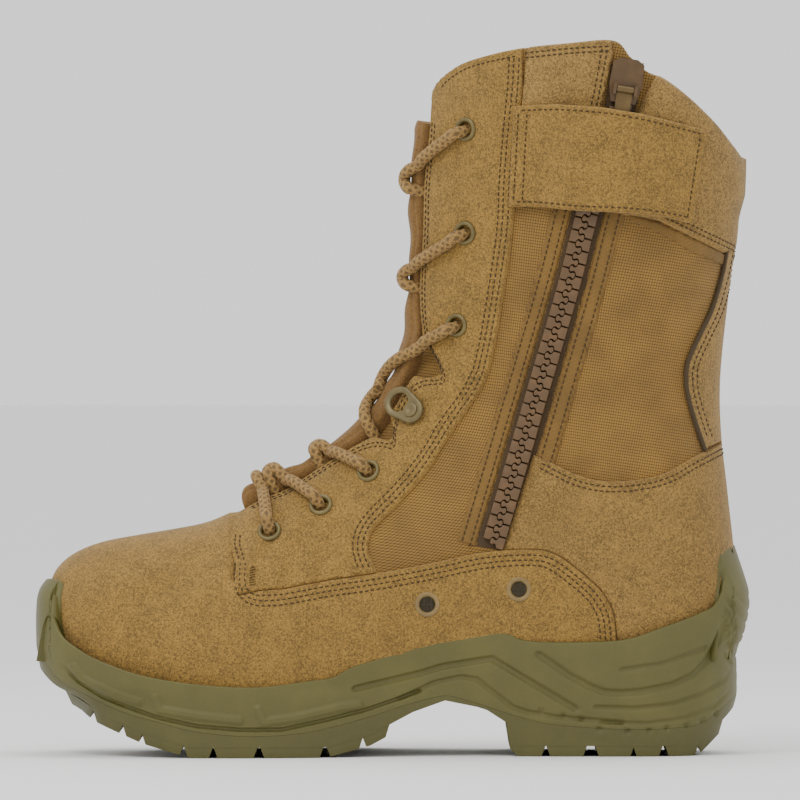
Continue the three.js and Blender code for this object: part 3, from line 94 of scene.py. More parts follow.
# Sections of the form: x and height of its front, x and height of its back, half widths of the foot
# inside and outside, half width of the shaft, half widths of the base inside and outside, the middle's
# offset, where it is widest, 1 where the section is closed, and how full it is. All in shares.
SECTIONS = [
    [0.015, 0.061, 0.015, -0.02, 0, 0, 0, 0, 0, -0.16, 0.5, 0, 2],
    [0.019, 0.091, 0.024, -0.035, 0.2, 0.2, 0, 0.18, 0.18, -0.16, 0.56, 0, 2],
    [0.031, 0.123, 0.041, -0.05, 0.41, 0.41, 0, 0.375, 0.375, -0.155, 0.6, 0, 2],
    [0.056, 0.148, 0.068, -0.066, 0.57, 0.57, 0, 0.5, 0.5, -0.145, 0.64, 0, 2],
    [0.094, 0.166, 0.106, -0.084, 0.7, 0.695, 0, 0.63, 0.63, -0.125, 0.68, 0, 2],
    [0.145, 0.178, 0.154, -0.101, 0.8, 0.79, 0, 0.74, 0.73, -0.09, 0.7, 0, 2],
    [0.196, 0.188, 0.205, -0.111, 0.87, 0.85, 0, 0.82, 0.8, -0.06, 0.72, 0, 2],
    [0.238, 0.198, 0.251, -0.116, 0.895, 0.885, 0, 0.86, 0.85, -0.04, 0.72, 0, 2],
    [0.275, 0.216, 0.298, -0.118, 0.89, 0.905, 0, 0.87, 0.87, -0.02, 0.72, 0, 2],
    [0.317, 0.243, 0.35, -0.113, 0.848, 0.9, 0, 0.866, 0.902, -0.01, 0.72, 0, 2],
    [0.364, 0.275, 0.406, -0.104, 0.795, 0.875, 0, 0.804, 0.89, 0, 0.72, 0, 2],
    [0.41, 0.309, 0.47, -0.089, 0.75, 0.83, 0, 0.723, 0.85, 0.01, 0.72, 0, 2],
    [0.45, 0.346, 0.54, -0.061, 0.714, 0.795, 0, 0.652, 0.79, 0.015, 0.7, 0, 2],
    [0.48, 0.387, 0.614, -0.044, 0.48, 0.55, 0.25, 0.607, 0.73, 0.01, 0.66, 0, 2],
    [0.499, 0.429, 0.693, -0.04, 0.24, 0.3, 0.5, 0.598, 0.68, 0.005, 0.62, 0, 2.4],
    [0.512, 0.474, 0.78, -0.039, 0.1, 0.145, 0.65, 0.607, 0.66, 0, 0.6, 0, 3],
    [0.52, 0.518, 0.865, -0.037, 0.05, 0.08, 0.71, 0.6, 0.62, 0, 0.58, 0.1, 3.5],
    [0.525, 0.558, 0.935, -0.032, 0.02, 0.04, 0.745, 0.455, 0.465, 0, 0.56, 0.35, 4],
    [0.528, 0.595, 0.973, -0.013, 0, 0.01, 0.77, 0.2, 0.2, 0, 0.55, 0.75, 4],
    [0.53, 0.632, 0.983, 0.03, 0, 0, 0.78, 0, 0, 0, 0.54, 1, 4],
    [0.532, 0.672, 0.985, 0.084, 0, 0, 0.786, 0, 0, 0, 0.53, 1, 4],
    [0.534, 0.716, 0.982, 0.16, 0, 0, 0.786, 0, 0, 0, 0.53, 1, 3.6],
    [0.535, 0.76, 0.973, 0.252, 0, 0, 0.79, 0, 0, 0, 0.52, 1, 3.2],
    [0.537, 0.807, 0.964, 0.345, 0, 0, 0.806, 0, 0, 0, 0.52, 1, 2.9],
    [0.54, 0.857, 0.963, 0.437, 0, 0, 0.837, 0, 0, 0, 0.52, 1, 2.7],
    [0.546, 0.911, 0.973, 0.555, 0, 0, 0.888, 0, 0, 0, 0.52, 1, 2.6],
    [0.554, 0.971, 0.983, 0.664, 0, 0, 0.939, 0, 0, 0, 0.52, 1, 2.5],
    [0.566, 1.039, 0.989, 0.765, 0, 0, 0.98, 0, 0, 0, 0.52, 1, 2.5],
    [0.58, 1.118, 0.993, 0.866, 0, 0, 1, 0, 0, 0, 0.52, 1, 2.5],
    [0.594, 1.193, 0.994, 0.975, 0, 0, 1, 0, 0, 0, 0.52, 1, 2.5],
]

# The sole's outline: share of the length, half widths inside and outside, and the middle's offset
PLAN = [
    [0, 0, 0, -0.16],
    [0.007, 0.3, 0.3, -0.16],
    [0.024, 0.5, 0.5, -0.155],
    [0.052, 0.66, 0.655, -0.145],
    [0.095, 0.8, 0.8, -0.12],
    [0.15, 0.915, 0.9, -0.09],
    [0.216, 0.975, 0.965, -0.055],
    [0.28, 0.985, 1.01, -0.03],
    [0.34, 0.945, 1.035, -0.01],
    [0.405, 0.87, 1.01, 0.01],
    [0.475, 0.79, 0.935, 0.025],
    [0.55, 0.72, 0.865, 0.025],
    [0.63, 0.69, 0.8, 0.02],
    [0.716, 0.69, 0.755, 0.01],
    [0.81, 0.705, 0.74, 0],
    [0.88, 0.695, 0.705, 0],
    [0.935, 0.62, 0.62, 0],
    [0.972, 0.45, 0.45, 0],
    [0.992, 0.24, 0.24, 0],
    [1, 0, 0, 0],
]

# Levels of the sole: height in shares of the sole and of the upper, x of the toe and of the heel, and
# how wide it is there
SOLE_LEVELS = [
    [-0.1, 0, 0.1, 0.95, 0.94, 0.94],
    [0.43, 0, 0.061, 0.983, 0.97, 0.98],
    [0.65, 0, 0.014, 0.987, 0.99, 0.985],
    [0.9, 0, 0.002, 0.987, 1, 0.99],
    [1, 0.007, 0, 0.996, 0.99, 0.985],
    [1, 0.05, 0, 1.004, 0.94, 0.96],
    [1, 0.08, 0.003, 1.004, 0.84, 0.94],
    [1, 0.104, 0.015, 0.999, 0.7, 0.93],
    [1, 0.165, 0.06, 0.982, 0.55, 0.91],
]

# Lines of the side view as [x, height], in shares of the sole's length and of the upper's height
COLLAR_LINE = [
    [0.5, 0.8], [0.546, 0.887], [0.554, 0.916], [0.566, 0.941], [0.594, 0.965], [0.628, 0.978],
    [0.678, 0.99], [0.746, 0.998], [0.81, 1.002], [0.834, 0.975], [0.858, 0.951], [0.882, 0.939],
    [0.915, 0.911], [0.949, 0.874], [0.983, 0.824], [1.03, 0.75],
]

THROAT_EDGE = [
    [0.559, 0.975], [0.554, 0.892], [0.552, 0.847], [0.546, 0.771], [0.544, 0.682], [0.539, 0.587],
    [0.543, 0.514], [0.554, 0.489], [0.567, 0.466], [0.565, 0.447], [0.544, 0.442], [0.532, 0.445],
    [0.522, 0.43], [0.509, 0.4], [0.498, 0.376], [0.504, 0.35], [0.496, 0.338], [0.482, 0.341],
    [0.471, 0.341], [0.447, 0.326], [0.406, 0.296], [0.355, 0.257], [0.326, 0.242], [0.3, 0.227],
    [0.285, 0.213],
]

EYESTAY_FRONT = [[0.277, 0.2], [0.274, 0.175], [0.274, 0.161], [0.281, 0.131], [0.28, 0.108]]

EYESTAY_REAR = [
    [0.686, 1.01], [0.683, 0.926], [0.676, 0.839], [0.671, 0.758], [0.669, 0.696], [0.66, 0.612],
    [0.641, 0.482], [0.625, 0.425], [0.583, 0.35], [0.552, 0.292], [0.519, 0.245], [0.482, 0.2],
    [0.469, 0.176], [0.468, 0.151], [0.481, 0.116],
]

WING_EDGE = [
    [0.2835, 0.079], [0.313, 0.087], [0.355, 0.092], [0.406, 0.103], [0.481, 0.116], [0.557, 0.133],
    [0.611, 0.147], [0.656, 0.154], [0.704, 0.155], [0.731, 0.146], [0.764, 0.118], [0.793, 0.086],
    [0.81, 0.049], [0.815, 0],
]

WING_ROWS = [[0.304, 0.135], [0.303, 0.108], [0.306, 0.094], [0.32, 0.0885], *WING_EDGE[2:]]

COUNTER_TOP = [
    [0.698, 0.313], [0.714, 0.306], [0.76, 0.279], [0.8, 0.269], [0.841, 0.271], [0.882, 0.282],
    [0.921, 0.306], [0.941, 0.318], [0.975, 0.336], [1.02, 0.35],
]

BACK_STRIP_EDGE = [
    [0.985, 0.72], [0.973, 0.655], [0.966, 0.612], [0.952, 0.556], [0.932, 0.508], [0.916, 0.466],
    [0.914, 0.43], [0.919, 0.398], [0.929, 0.36], [0.941, 0.32],
]

CUFF_LOW = [[0.797, 0.716], [0.874, 0.703], [0.917, 0.679], [0.972, 0.649], [1.03, 0.62]]

BINDING_TOP = [[0.83, 0.715], [0.874, 0.7], [0.915, 0.678], [0.975, 0.646]]

BINDING_LOW = [[0.985, 0.622], [0.92, 0.652], [0.885, 0.676], [0.86, 0.69], [0.835, 0.702]]

COLLAR_FRONT_REAR_EDGE = [[0.812, 1.01], [0.793, 0.89], [0.76, 0.74]]

CUFF_FRONT_EDGE = [[0.862, 0.965], [0.84, 0.87], [0.806, 0.716]]

CUFF_FRONT_EDGE_OUTER = [[0.69, 1.01], [0.681, 0.85], [0.677, 0.74]]

FLAP_OUTLINE = [
    [0.672, 0.894], [0.733, 0.897], [0.794, 0.892], [0.843, 0.882], [0.893, 0.867], [0.934, 0.854],
    [0.914, 0.699], [0.874, 0.711], [0.828, 0.718], [0.764, 0.721], [0.707, 0.726], [0.664, 0.726],
]

ZIP_LINE = [
    [0.836, 1.03], [0.819, 0.889], [0.794, 0.798], [0.774, 0.719], [0.746, 0.588], [0.709, 0.437],
    [0.674, 0.294], [0.639, 0.153],
]

EYELETS = [
    [0.329, 0.186], [0.401, 0.229], [0.468, 0.285], [0.591, 0.529], [0.603, 0.683], [0.604, 0.856],
]

VENTS = [[0.55, 0.064], [0.678, 0.089]]

# The flap's height over the form, in mm, at shares of the length
FLAP_REST = [[0.66, 0.3], [0.7, 0.6], [0.75, 5], [0.86, 5.8], [0.94, 2.4]]

RUBBER_LINE = [
    [-0.02, 0.1], [0.021, 0.1], [0.021, 0.074], [0.023, 0.049], [0.03, 0.025], [0.041, 0.006],
    [0.059, -0.009], [0.09, -0.029], [0.152, -0.054], [0.23, -0.069], [0.313, -0.074], [0.388, -0.064],
    [0.418, -0.059], [0.437, -0.047],
    [0.451, -0.0395], [0.464, -0.035], [0.512, -0.018], [0.591, 0.005], [0.646, 0.014], [0.666, 0.012],
    [0.683, 0.003],
    [0.729, -0.001], [0.822, 0.003], [0.88, 0.024], [0.932, 0.047], [0.956, 0.063], [0.973, 0.104],
    [0.979, 0.136], [0.982, 0.158], [1.02, 0.16],
]

# Lines of the sole as [x, height], in shares of its length and of its height
PARTING_LINE = [
    [-0.02, 0.9], [0.01, 0.86], [0.035, 0.68], [0.08, 0.51], [0.134, 0.38], [0.171, 0.32], [0.23, 0.23],
    [0.309, 0.19], [0.388, 0.23], [0.467, 0.35], [0.512, 0.44], [0.567, 0.53], [0.591, 0.52],
    [0.623, 0.46], [0.683, 0.34], [0.729, 0.28], [0.822, 0.24], [0.894, 0.25], [0.938, 0.3],
    [0.983, 0.51], [1.02, 0.65],
]

TREAD_LINE = [
    [0, 0.7], [0.035, 0.5], [0.086, 0.3], [0.154, 0.12], [0.22, 0], [0.41, 0], [0.47, 0.1], [0.53, 0.3],
    [0.575, 0.4], [0.63, 0.33], [0.662, 0.2], [0.668, 0], [0.93, 0], [0.985, 0.33], [1.02, 0.5],
]

# Where each row of lugs starts and ends along the sole
LUGS = [
    [0.05, 0.078], [0.088, 0.12], [0.13, 0.148], [0.157, 0.205], [0.216, 0.246], [0.258, 0.308],
    [0.323, 0.4], [0.415, 0.455], [0.465, 0.492], [0.666, 0.71], [0.722, 0.768], [0.79, 0.834],
    [0.843, 0.874], [0.888, 0.925], [0.934, 0.96],
]

# The tongue from its front up: half width in s, and how far it swells
TONGUE_PROFILE = [
    [0.052, 0.9], [0.06, 0.72], [0.06, 0.46], [0.085, 0.37], [0.1, 0.29], [0.11, 0.2], [0.11, 0.12],
    [0.08, 0.14], [0.075, 0.21], [0.075, 0.28], [0.075, 0.34], [0.077, 0.38], [0.075, 0.42],
]
DECK = [[row[2], row[3] + 0.8 / UPPER_HEIGHT] for row in SECTIONS if row[11] < 0.5]


# Places on the boot

def place_x(x):
    """x in mm of a share of the sole's length."""
    return (np.asarray(x, float) - 0.5) * BOOT_LENGTH


def place_up(up):
    """z in mm of a share of the upper's height, counted from the top of the sole."""
    return SOLE_HEIGHT + np.asarray(up, float) * UPPER_HEIGHT


def place_low(low):
    """z in mm of a share of the sole's height."""
    return np.asarray(low, float) * SOLE_HEIGHT


def curve_rows(table, u):
    """Rows of a table at shares u of its length, on a smooth curve through them."""
    rows = np.asarray(table, float)
    last = len(rows) - 1
    at = np.clip(np.asarray(u, float), 0, 1) * last
    k = np.minimum(at.astype(int), last - 1)
    f = (at - k)[:, None]
    p0, p1, p2, p3 = rows[np.maximum(k - 1, 0)], rows[k], rows[k + 1], rows[np.minimum(k + 2, last)]
    rise, fall = (p2 - p0) / 2, (p3 - p1) / 2
    return (p1 + f * rise + f ** 2 * (3 * (p2 - p1) - 2 * rise - fall)
            + f ** 3 * (2 * (p1 - p2) + rise + fall))


def form_point(u, s):
    """Points of the lasted form. Past s = -1 or 1 a place goes on round the back."""
    row = curve_rows(SECTIONS, u).T
    front_x, front_up, back_x, back_up, inner, outer, leg, base_in, base_out = row[:9]
    axis, widest, closed, power = row[9:]
    s = np.asarray(s, float)
    side = np.where(s < 0, -1.0, 1.0)
    a = np.abs(s)
    side = np.where(a > 1, -side, side)
    a = np.where(a > 1, 2 - a, a)
    foot = np.maximum(np.where(side < 0, inner, outer), 0) * BALL_WIDTH / 2
    half = foot + np.maximum(leg, 0) * SHAFT_WIDTH / 2
    base = np.maximum(np.where(side < 0, base_in, base_out), 0) * BALL_WIDTH / 2
    closed = np.clip(closed, 0, 1)
    part = (np.clip(a, 0.5, 1) - 0.5) * 2
    tau = part + (np.sin(part * np.pi / 2) - part) * closed
    keep = np.maximum(1 - tau ** power, 0) ** (1 - closed / 2)
    top = a <= 0.5
    t = np.where(top, widest * (1 - np.cos(np.pi * a)), widest + (1 - widest) * tau)
    width = np.where(top, half * np.sin(np.pi * a), base + (half - base) * keep)
    x = front_x + (back_x - front_x) * t
    up = front_up + (back_up - front_up) * t
    return np.stack([place_x(x), axis * BALL_WIDTH / 2 + side * width, place_up(up)], 1)


def directions(vectors):
    """Each row at length one."""
    return vectors / np.maximum(np.linalg.norm(vectors, axis=1), 1e-9)[:, None]


def form_normal(u, s):
    """Outward directions of the form."""
    step = 1e-3
    u, s = np.asarray(u, float), np.asarray(s, float)
    closed = curve_rows(SECTIONS, u)[:, 11] > 0.5
    low = np.where(closed, s - step, np.clip(s - step, -1, 1))
    high = np.where(closed, s + step, np.clip(s + step, -1, 1))
    along_u = form_point(np.clip(u + step, 0, 1), s) - form_point(np.clip(u - step, 0, 1), s)
    along_s = form_point(u, high) - form_point(u, low)
    normal = np.cross(along_u, along_s)
    length = np.linalg.norm(normal, axis=1)
    normal[length < 1e-9] = (-1, 0, 0)
    return directions(normal)


def dents(p):
    """Soft creases and waves of the worn leather, in mm, at points of the form."""
    x, y, z = p.T
    total = 0.35 * np.sin(x / 23 + 1.1 * np.sin(z / 31)) * np.sin(z / 27 + y / 40)
    for cx, cz, angle, length, width, depth in CREASES:
        cos, sin = math.cos(math.radians(angle)), math.sin(math.radians(angle))
        along = (x - cx) * cos + (z - cz) * sin
        across = -(x - cx) * sin + (z - cz) * cos + 0.02 * along ** 2 / max(length, 1) * 4
        fade = np.exp(-(along / length) ** 4)
        total += depth * fade * (np.exp(-(across / width) ** 2)
                                 - 0.6 * np.exp(-((np.abs(across) - 1.7 * width) / width) ** 2))
    return total


def skin(u, s, height):
    """Points at a height above the form, with the leather's creases."""
    p = form_point(u, s)
    return p + form_normal(u, s) * (height + dents(p))[:, None]


_GRID_U, _GRID_A = [g.ravel() for g in np.meshgrid(np.linspace(0.004, 1, 240),
                                                  np.linspace(0.002, 0.998, 170), indexing="ij")]
_GRIDS = {side: form_point(_GRID_U, side * _GRID_A)[:, ::2] for side in (-1, 1)}
_EDGE_U = np.tile(np.linspace(0.004, 1, 1500), 2)
_EDGE_A = np.repeat([0.0, 1.0], 1500)
_EDGES = form_point(_EDGE_U, _EDGE_A)[:, ::2]


def on_form(points, side):
    """(u, s) of side-view points given as [x, up] in mm. A point off the form goes to its rim."""
    target = np.asarray(points, float)
    grid = _GRIDS[side]
    near = np.array([np.argmin(((grid - t) ** 2).sum(1)) for t in target])
    u, a = _GRID_U[near].copy(), _GRID_A[near].copy()
    step = 1e-4
    for _ in range(12):
        p = form_point(u, side * a)[:, ::2]
        pu = (form_point(u + step, side * a)[:, ::2] - p) / step
        pa = (form_point(u, side * (a + step))[:, ::2] - p) / step
        det = pu[:, 0] * pa[:, 1] - pu[:, 1] * pa[:, 0]
        det = np.where(np.abs(det) < 1e-3, 1e-3, det)
        d = target - p
        u = np.clip(u + np.clip((d[:, 0] * pa[:, 1] - d[:, 1] * pa[:, 0]) / det, -.02, .02), 0.003, 1)
        a = np.clip(a + np.clip((pu[:, 0] * d[:, 1] - pu[:, 1] * d[:, 0]) / det, -.04, .04), 0, 1)
    miss = np.linalg.norm(form_point(u, side * a)[:, ::2] - target, axis=1)
    for i in np.where(miss > 0.4)[0]:
        k = np.argmin(((_EDGES - target[i]) ** 2).sum(1))
        u[i], a[i] = _EDGE_U[k], _EDGE_A[k]
    return np.stack([u, side * a], 1)


def upper_line(points):
    """[x, z] in mm of [x, height] shares on the upper."""
    return np.stack([place_x([p[0] for p in points]), place_up([p[1] for p in points])], 1)


def lower_line(points):
    """[x, z] in mm of [x, height] shares on the sole."""
    return np.stack([place_x([p[0] for p in points]), place_low([p[1] for p in points])], 1)


def far_along(points):
    """How far along a polyline each of its points is."""
    step = np.linalg.norm(np.diff(points, axis=0), axis=1)
    return np.concatenate([[0], np.cumsum(step)])


def resample(points, spacing):
    """The polyline with points at an even spacing."""
    points = np.asarray(points, float)
    far = far_along(points)
    count = max(int(round(far[-1] / spacing)), 1)
    at = np.linspace(0, far[-1], count + 1)
    return np.stack([np.interp(at, far, points[:, i]) for i in range(points.shape[1])], 1)


def smooth(points, spacing=1.2):
    """A smooth line through side-view points."""
    points = np.asarray(points, float)
    dense = curve_rows(points, np.linspace(0, 1, 24 * len(points)))
    return resample(dense, spacing)


def beside(points, distance):
    """The line moved to its left, looking along it."""
    points = np.asarray(points, float)
    t = directions(np.gradient(points, axis=0))
    return points + np.stack([-t[:, 1], t[:, 0]], 1) * distance


# Meshes

# About how many mm the form measures along u and along s, so that panels are cut in even cells
DOMAIN = np.array([450.0, 130.0])


def inside(points, polygon):
    """Which points lie inside a polygon, by crossings."""
    x, y = points.T
    result = np.zeros(len(points), bool)
    before = np.roll(polygon, 1, axis=0)
    for (x0, y0), (x1, y1) in zip(before, polygon):
        if y0 == y1:
            continue
        crosses = ((y0 > y) != (y1 > y)) & (x < (x1 - x0) * (y - y0) / (y1 - y0) + x0)
        result ^= crosses
    return result


def thin(points, gap, kept=()):
    """Those of the points that lie no nearer than gap to a kept one or to one another."""
    cells = {}
    out = []
    for fresh, q in [(False, q) for q in kept] + [(True, q) for q in points]:
        i, j = int(q[0] // gap), int(q[1] // gap)
        if fresh:
            near = [r for a in (i - 1, i, i + 1) for b in (j - 1, j, j + 1)
                    for r in cells.get((a, b), ())]
            if any((r[0] - q[0]) ** 2 + (r[1] - q[1]) ** 2 < gap * gap for r in near):
                continue
            out.append(q)
        cells.setdefault((i, j), []).append(q)
    return np.array(out).reshape(-1, 2)


def nearness(points, others):
    """How far each point is from the nearest of the others."""
    tree = KDTree(len(others))
    for i, q in enumerate(others):
        tree.insert(q, i)
    tree.balance()
    return np.array([tree.find(q)[2] for q in points])


def new_object(name, points, faces, material, uvs=None, smooth_shade=True, masks=None):
    """A mesh object from points in mm. uvs holds one pair for each point."""
    mesh = bpy.data.meshes.new(name)
    mesh.from_pydata((np.asarray(points) * MM).tolist(), [], [tuple(map(int, f)) for f in faces])
    mesh.validate()
    if uvs is not None:
        layer = mesh.uv_layers.new(name="weave")
        loops = np.empty(len(mesh.loops), np.int32)
        mesh.loops.foreach_get("vertex_index", loops)
        layer.data.foreach_set("uv", (np.asarray(uvs)[loops] * MM).ravel().astype(np.float32))
    for label, values in (masks or {}).items():
        attribute = mesh.attributes.new(label, "FLOAT", "POINT")
        attribute.data.foreach_set("value", np.asarray(values, np.float32))
    even = bmesh.new()
    even.from_mesh(mesh)
    bmesh.ops.recalc_face_normals(even, faces=even.faces)
    even.to_mesh(mesh)
    even.free()
    if smooth_shade:
        mesh.shade_smooth()
        mesh.set_sharp_from_angle(angle=math.radians(60))
    mesh.materials.append(bpy.data.materials[material])
    obj = bpy.data.objects.new(name, mesh)
    bpy.context.scene.collection.objects.link(obj)
    return obj


def dress(obj, nodes=(), body="boot"):
    """Tell the frame what a piece rides on and the CAD nodes that it replaces."""
    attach(obj, body)
    if nodes:
        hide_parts(*nodes)
    return obj


_ARC_U = np.linspace(0, 1, 200)
_ARC_S = np.linspace(-2, 2, 241)


def _arc_table():
    """How far round each section lies a place s, from its crest."""
    u, s = [g.ravel() for g in np.meshgrid(_ARC_U, _ARC_S, indexing="ij")]
    p = form_point(u, s).reshape(len(_ARC_U), len(_ARC_S), 3)
    step = np.linalg.norm(np.diff(p, axis=1), axis=2)
    far = np.concatenate([np.zeros((len(_ARC_U), 1)), np.cumsum(step, axis=1)], 1)
    return far - far[:, [120]]


_ARCS = _arc_table()


def weave_place(u, s, p):
    """Flat coordinates of the cloth: round the section, and up."""
    i = np.clip(u, 0, 1) * (len(_ARC_U) - 1)
    j = (np.clip(s, -2, 2) + 2) / 4 * (len(_ARC_S) - 1)
    i0, j0 = np.minimum(i.astype(int), len(_ARC_U) - 2), np.minimum(j.astype(int), len(_ARC_S) - 2)
    fi, fj = i - i0, j - j0
    arc = (_ARCS[i0, j0] * (1 - fi) * (1 - fj) + _ARCS[i0 + 1, j0] * fi * (1 - fj)
           + _ARCS[i0, j0 + 1] * (1 - fi) * fj + _ARCS[i0 + 1, j0 + 1] * fi * fj)
    return np.stack([arc, p[:, 2] + 0.15 * p[:, 0]], 1)


def panel(name, outline, base, thick, material, rows=(), holes=(), cell=1.8, roll=0.9,
          swell=None, under=None, groove=0.3):
    """A panel of the upper inside an outline of (u, s) places, from base up by thick, with a rolled
    rim. rows are sewn lines, where it dips. base may be a function of points."""
    polygon = thin(np.asarray(outline) * DOMAIN, 0.5)
    specials = []
    sign = 1 if inside(beside(polygon, 0.5), polygon).mean() > 0.5 else -1
    loops = [polygon] + [thin(np.asarray(h) * DOMAIN, 0.3) for h in holes]
    closed_rim = [np.vstack([loop, loop[:1]]) for loop in loops]
    rim = np.vstack([resample(loop, 0.35) for loop in closed_rim])
    for k, loop in enumerate(closed_rim):
        way = sign if k == 0 else 0
        for inset in (roll * 0.35, roll * 0.8, roll * 1.5):
            for side in ((way,) if way else (-1, 1)):
                line = beside(resample(loop, 1.0 if k == 0 else 0.7), side * inset)
                gap = np.array([np.min(((rim - q) ** 2).sum(1)) for q in line]) ** 0.5
                specials.append(line[gap > inset * 0.85])
    for row in rows:
        line = resample(np.asarray(row) * DOMAIN, 1.3)
        if len(line) > 2:
            specials += [line, beside(line, 0.8), beside(line, -0.8)]
    low, high = polygon.min(0), polygon.max(0)
    step_y = cell * math.sqrt(3) / 2
    ys = np.arange(low[1] + 0.31, high[1], step_y)
    grid = np.array([(x, y) for i, y in enumerate(ys)
                     for x in np.arange(low[0] + (i % 2) * cell / 2, high[0], cell)])
    keep = inside(grid, polygon)
    for loop in loops[1:]:
        keep &= ~inside(grid, loop)
    grid = grid[keep]
    special = np.vstack(specials) if specials else np.zeros((0, 2))
    ok = inside(special, polygon)
    for loop in loops[1:]:
        ok &= ~inside(special, loop)
    fixed = np.vstack(loops)
    special = thin(special[ok], 0.32, kept=fixed)
    points = np.vstack([fixed, special, thin(grid, 0.8, kept=np.vstack([fixed, special]))])
    edges = []
    start = 0
    for loop in loops:
        n = len(loop)
        edges += [(start + i, start + (i + 1) % n) for i in range(n)]
        start += n
    made = delaunay_2d_cdt([Vector(q) for q in points], edges, [], 0, 1e-5)
    flat = np.array([tuple(v) for v in made[0]])
    tris = np.array([f for f in made[2] if len(f) == 3])
    centre = flat[tris].mean(1)
    good = inside(centre, polygon)
    for loop in loops[1:]:
        good &= ~inside(centre, loop)
    tris = tris[good]
    a, b, c = flat[tris[:, 0]], flat[tris[:, 1]], flat[tris[:, 2]]
    area = (b[:, 0] - a[:, 0]) * (c[:, 1] - a[:, 1]) - (b[:, 1] - a[:, 1]) * (c[:, 0] - a[:, 0])
    tris = tris[np.abs(area) > 1e-7]
    area = area[np.abs(area) > 1e-7]
    tris[area < 0] = tris[area < 0][:, ::-1]
    used = np.unique(tris)
    index = -np.ones(len(flat), int)
    index[used] = np.arange(len(used))
    flat, tris = flat[used], index[tris]
    u, s = (flat / DOMAIN).T
    p = form_point(u, s)
    edges = dict.fromkeys((t[i], t[(i + 1) % 3]) for t in tris for i in range(3))
    rim_edges = [e for e in edges if (e[1], e[0]) not in edges]
    rim_points = np.unique(np.array(rim_edges))
    inset = nearness(p, p[rim_points])
    inset[rim_points] = 0
    part = np.clip(inset / roll, 0, 1)
    profile = 0.3 + 0.7 * np.sqrt(1 - (1 - part) ** 2)
    base_height = base(p) if callable(base) else np.full(len(p), float(base))
    rise = thick * profile
    if swell is not None:
        rise = rise + swell(u, s, p, inset)
    if rows:
        sewn = np.vstack([resample(form_point(*np.asarray(r).T), 0.6) for r in rows])
        rise = rise - groove * np.exp(-(nearness(p, sewn) / 0.75) ** 2)
    top = skin(u, s, base_height + rise)
    bottom = skin(u, s, base_height)
    n = len(top)
    faces = [tuple(t) for t in tris] + [tuple(t[::-1] + n) for t in tris]
    faces += [(a + n, b + n, b, a) for a, b in rim_edges]
    flat_place = weave_place(u, s, p)
    obj = new_object(name, np.vstack([top, bottom]), faces, material,
                     uvs=np.vstack([flat_place, flat_place]),
                     masks={"rim": np.concatenate([inset, np.zeros(n)])})
    if under:
        obj.data.materials.append(bpy.data.materials[under])
        for k in range(len(tris), 2 * len(tris)):
            obj.data.polygons[k].material_index = 1
    return obj


def stitches(name, lines, pitch=None, length=1.75, width=0.6, height=0.1, base=0.0,
             material="thread", tilt=0.0):
    """A row of stitches along each line of (u, s) places, on the panels' skin. A pitch that isn't
    given is the scene's own."""
    pitch = pitch or round(bpy.context.scene.boot_sizes.stitch_pitch / MM, 4)
    points, faces = [], []
    ring = 6
    shape = [(-0.5, 0.35), (-0.36, 0.9), (0.0, 1.0), (0.36, 0.9), (0.5, 0.35)]
    for line in lines:
        line = np.asarray(line)
        far = far_along(form_point(*line.T))
        if far[-1] < pitch:
            continue
        at = np.arange(pitch / 2, far[-1], pitch)
        us = np.stack([np.interp(at, far, line[:, i]) for i in range(2)], 1)
        ahead = np.stack([np.interp(at + 0.4, far, line[:, i]) for i in range(2)], 1)
        level = base(form_point(*us.T)) if callable(base) else base
        centre = skin(us[:, 0], us[:, 1], level + height)
        normal = form_normal(us[:, 0], us[:, 1])
        forward = directions(skin(ahead[:, 0], ahead[:, 1], level + height) - centre)
        across = np.cross(forward, normal)
        for c, f, n, x in zip(centre, forward, normal, across):
            f = f + x * tilt
            start = len(points)
            for along, thick in shape:
                sink = -0.35 * (2 * abs(along)) ** 3
                for k in range(ring):
                    turn = 2 * math.pi * k / ring
                    points.append(c + f * along * length + n * (sink + math.sin(turn) * width / 2 * thick)
                                  + x * math.cos(turn) * width / 2 * thick)
            for r in range(len(shape) - 1):
                for k in range(ring):
                    k2 = (k + 1) % ring
                    a, b = start + r * ring, start + (r + 1) * ring
                    faces.append((a + k, b + k, b + k2, a + k2))
            faces.append(tuple(start + k for k in range(ring)))
            faces.append(tuple(start + (len(shape) - 1) * ring + ring - 1 - k for k in range(ring)))
    return dress(new_object(name, points, faces, material))


def ring_mesh(name, rings, material):
    """A closed body from rings of the sole's outline, lowest first. Each ring starts at the toe."""
    rings = np.asarray(rings)
    levels, around = rings.shape[:2]
    faces = []
    for r in range(levels - 1):
        for k in range(around):
            n = (k + 1) % around
            faces.append((r * around + k, r * around + n, (r + 1) * around + n, (r + 1) * around + k))
    half = around // 2
    for base, flip in ((0, False), ((levels - 1) * around, True)):
        for k in range(0, half):
            face = [base + k, base + (around - k) % around, base + around - k - 1, base + k + 1]
            face = list(dict.fromkeys(face))
            faces.append(tuple(face[::-1] if flip else face))
    return new_object(name, rings.reshape(-1, 3), faces, material)


# Points of each ring of the sole
AROUND = 1000


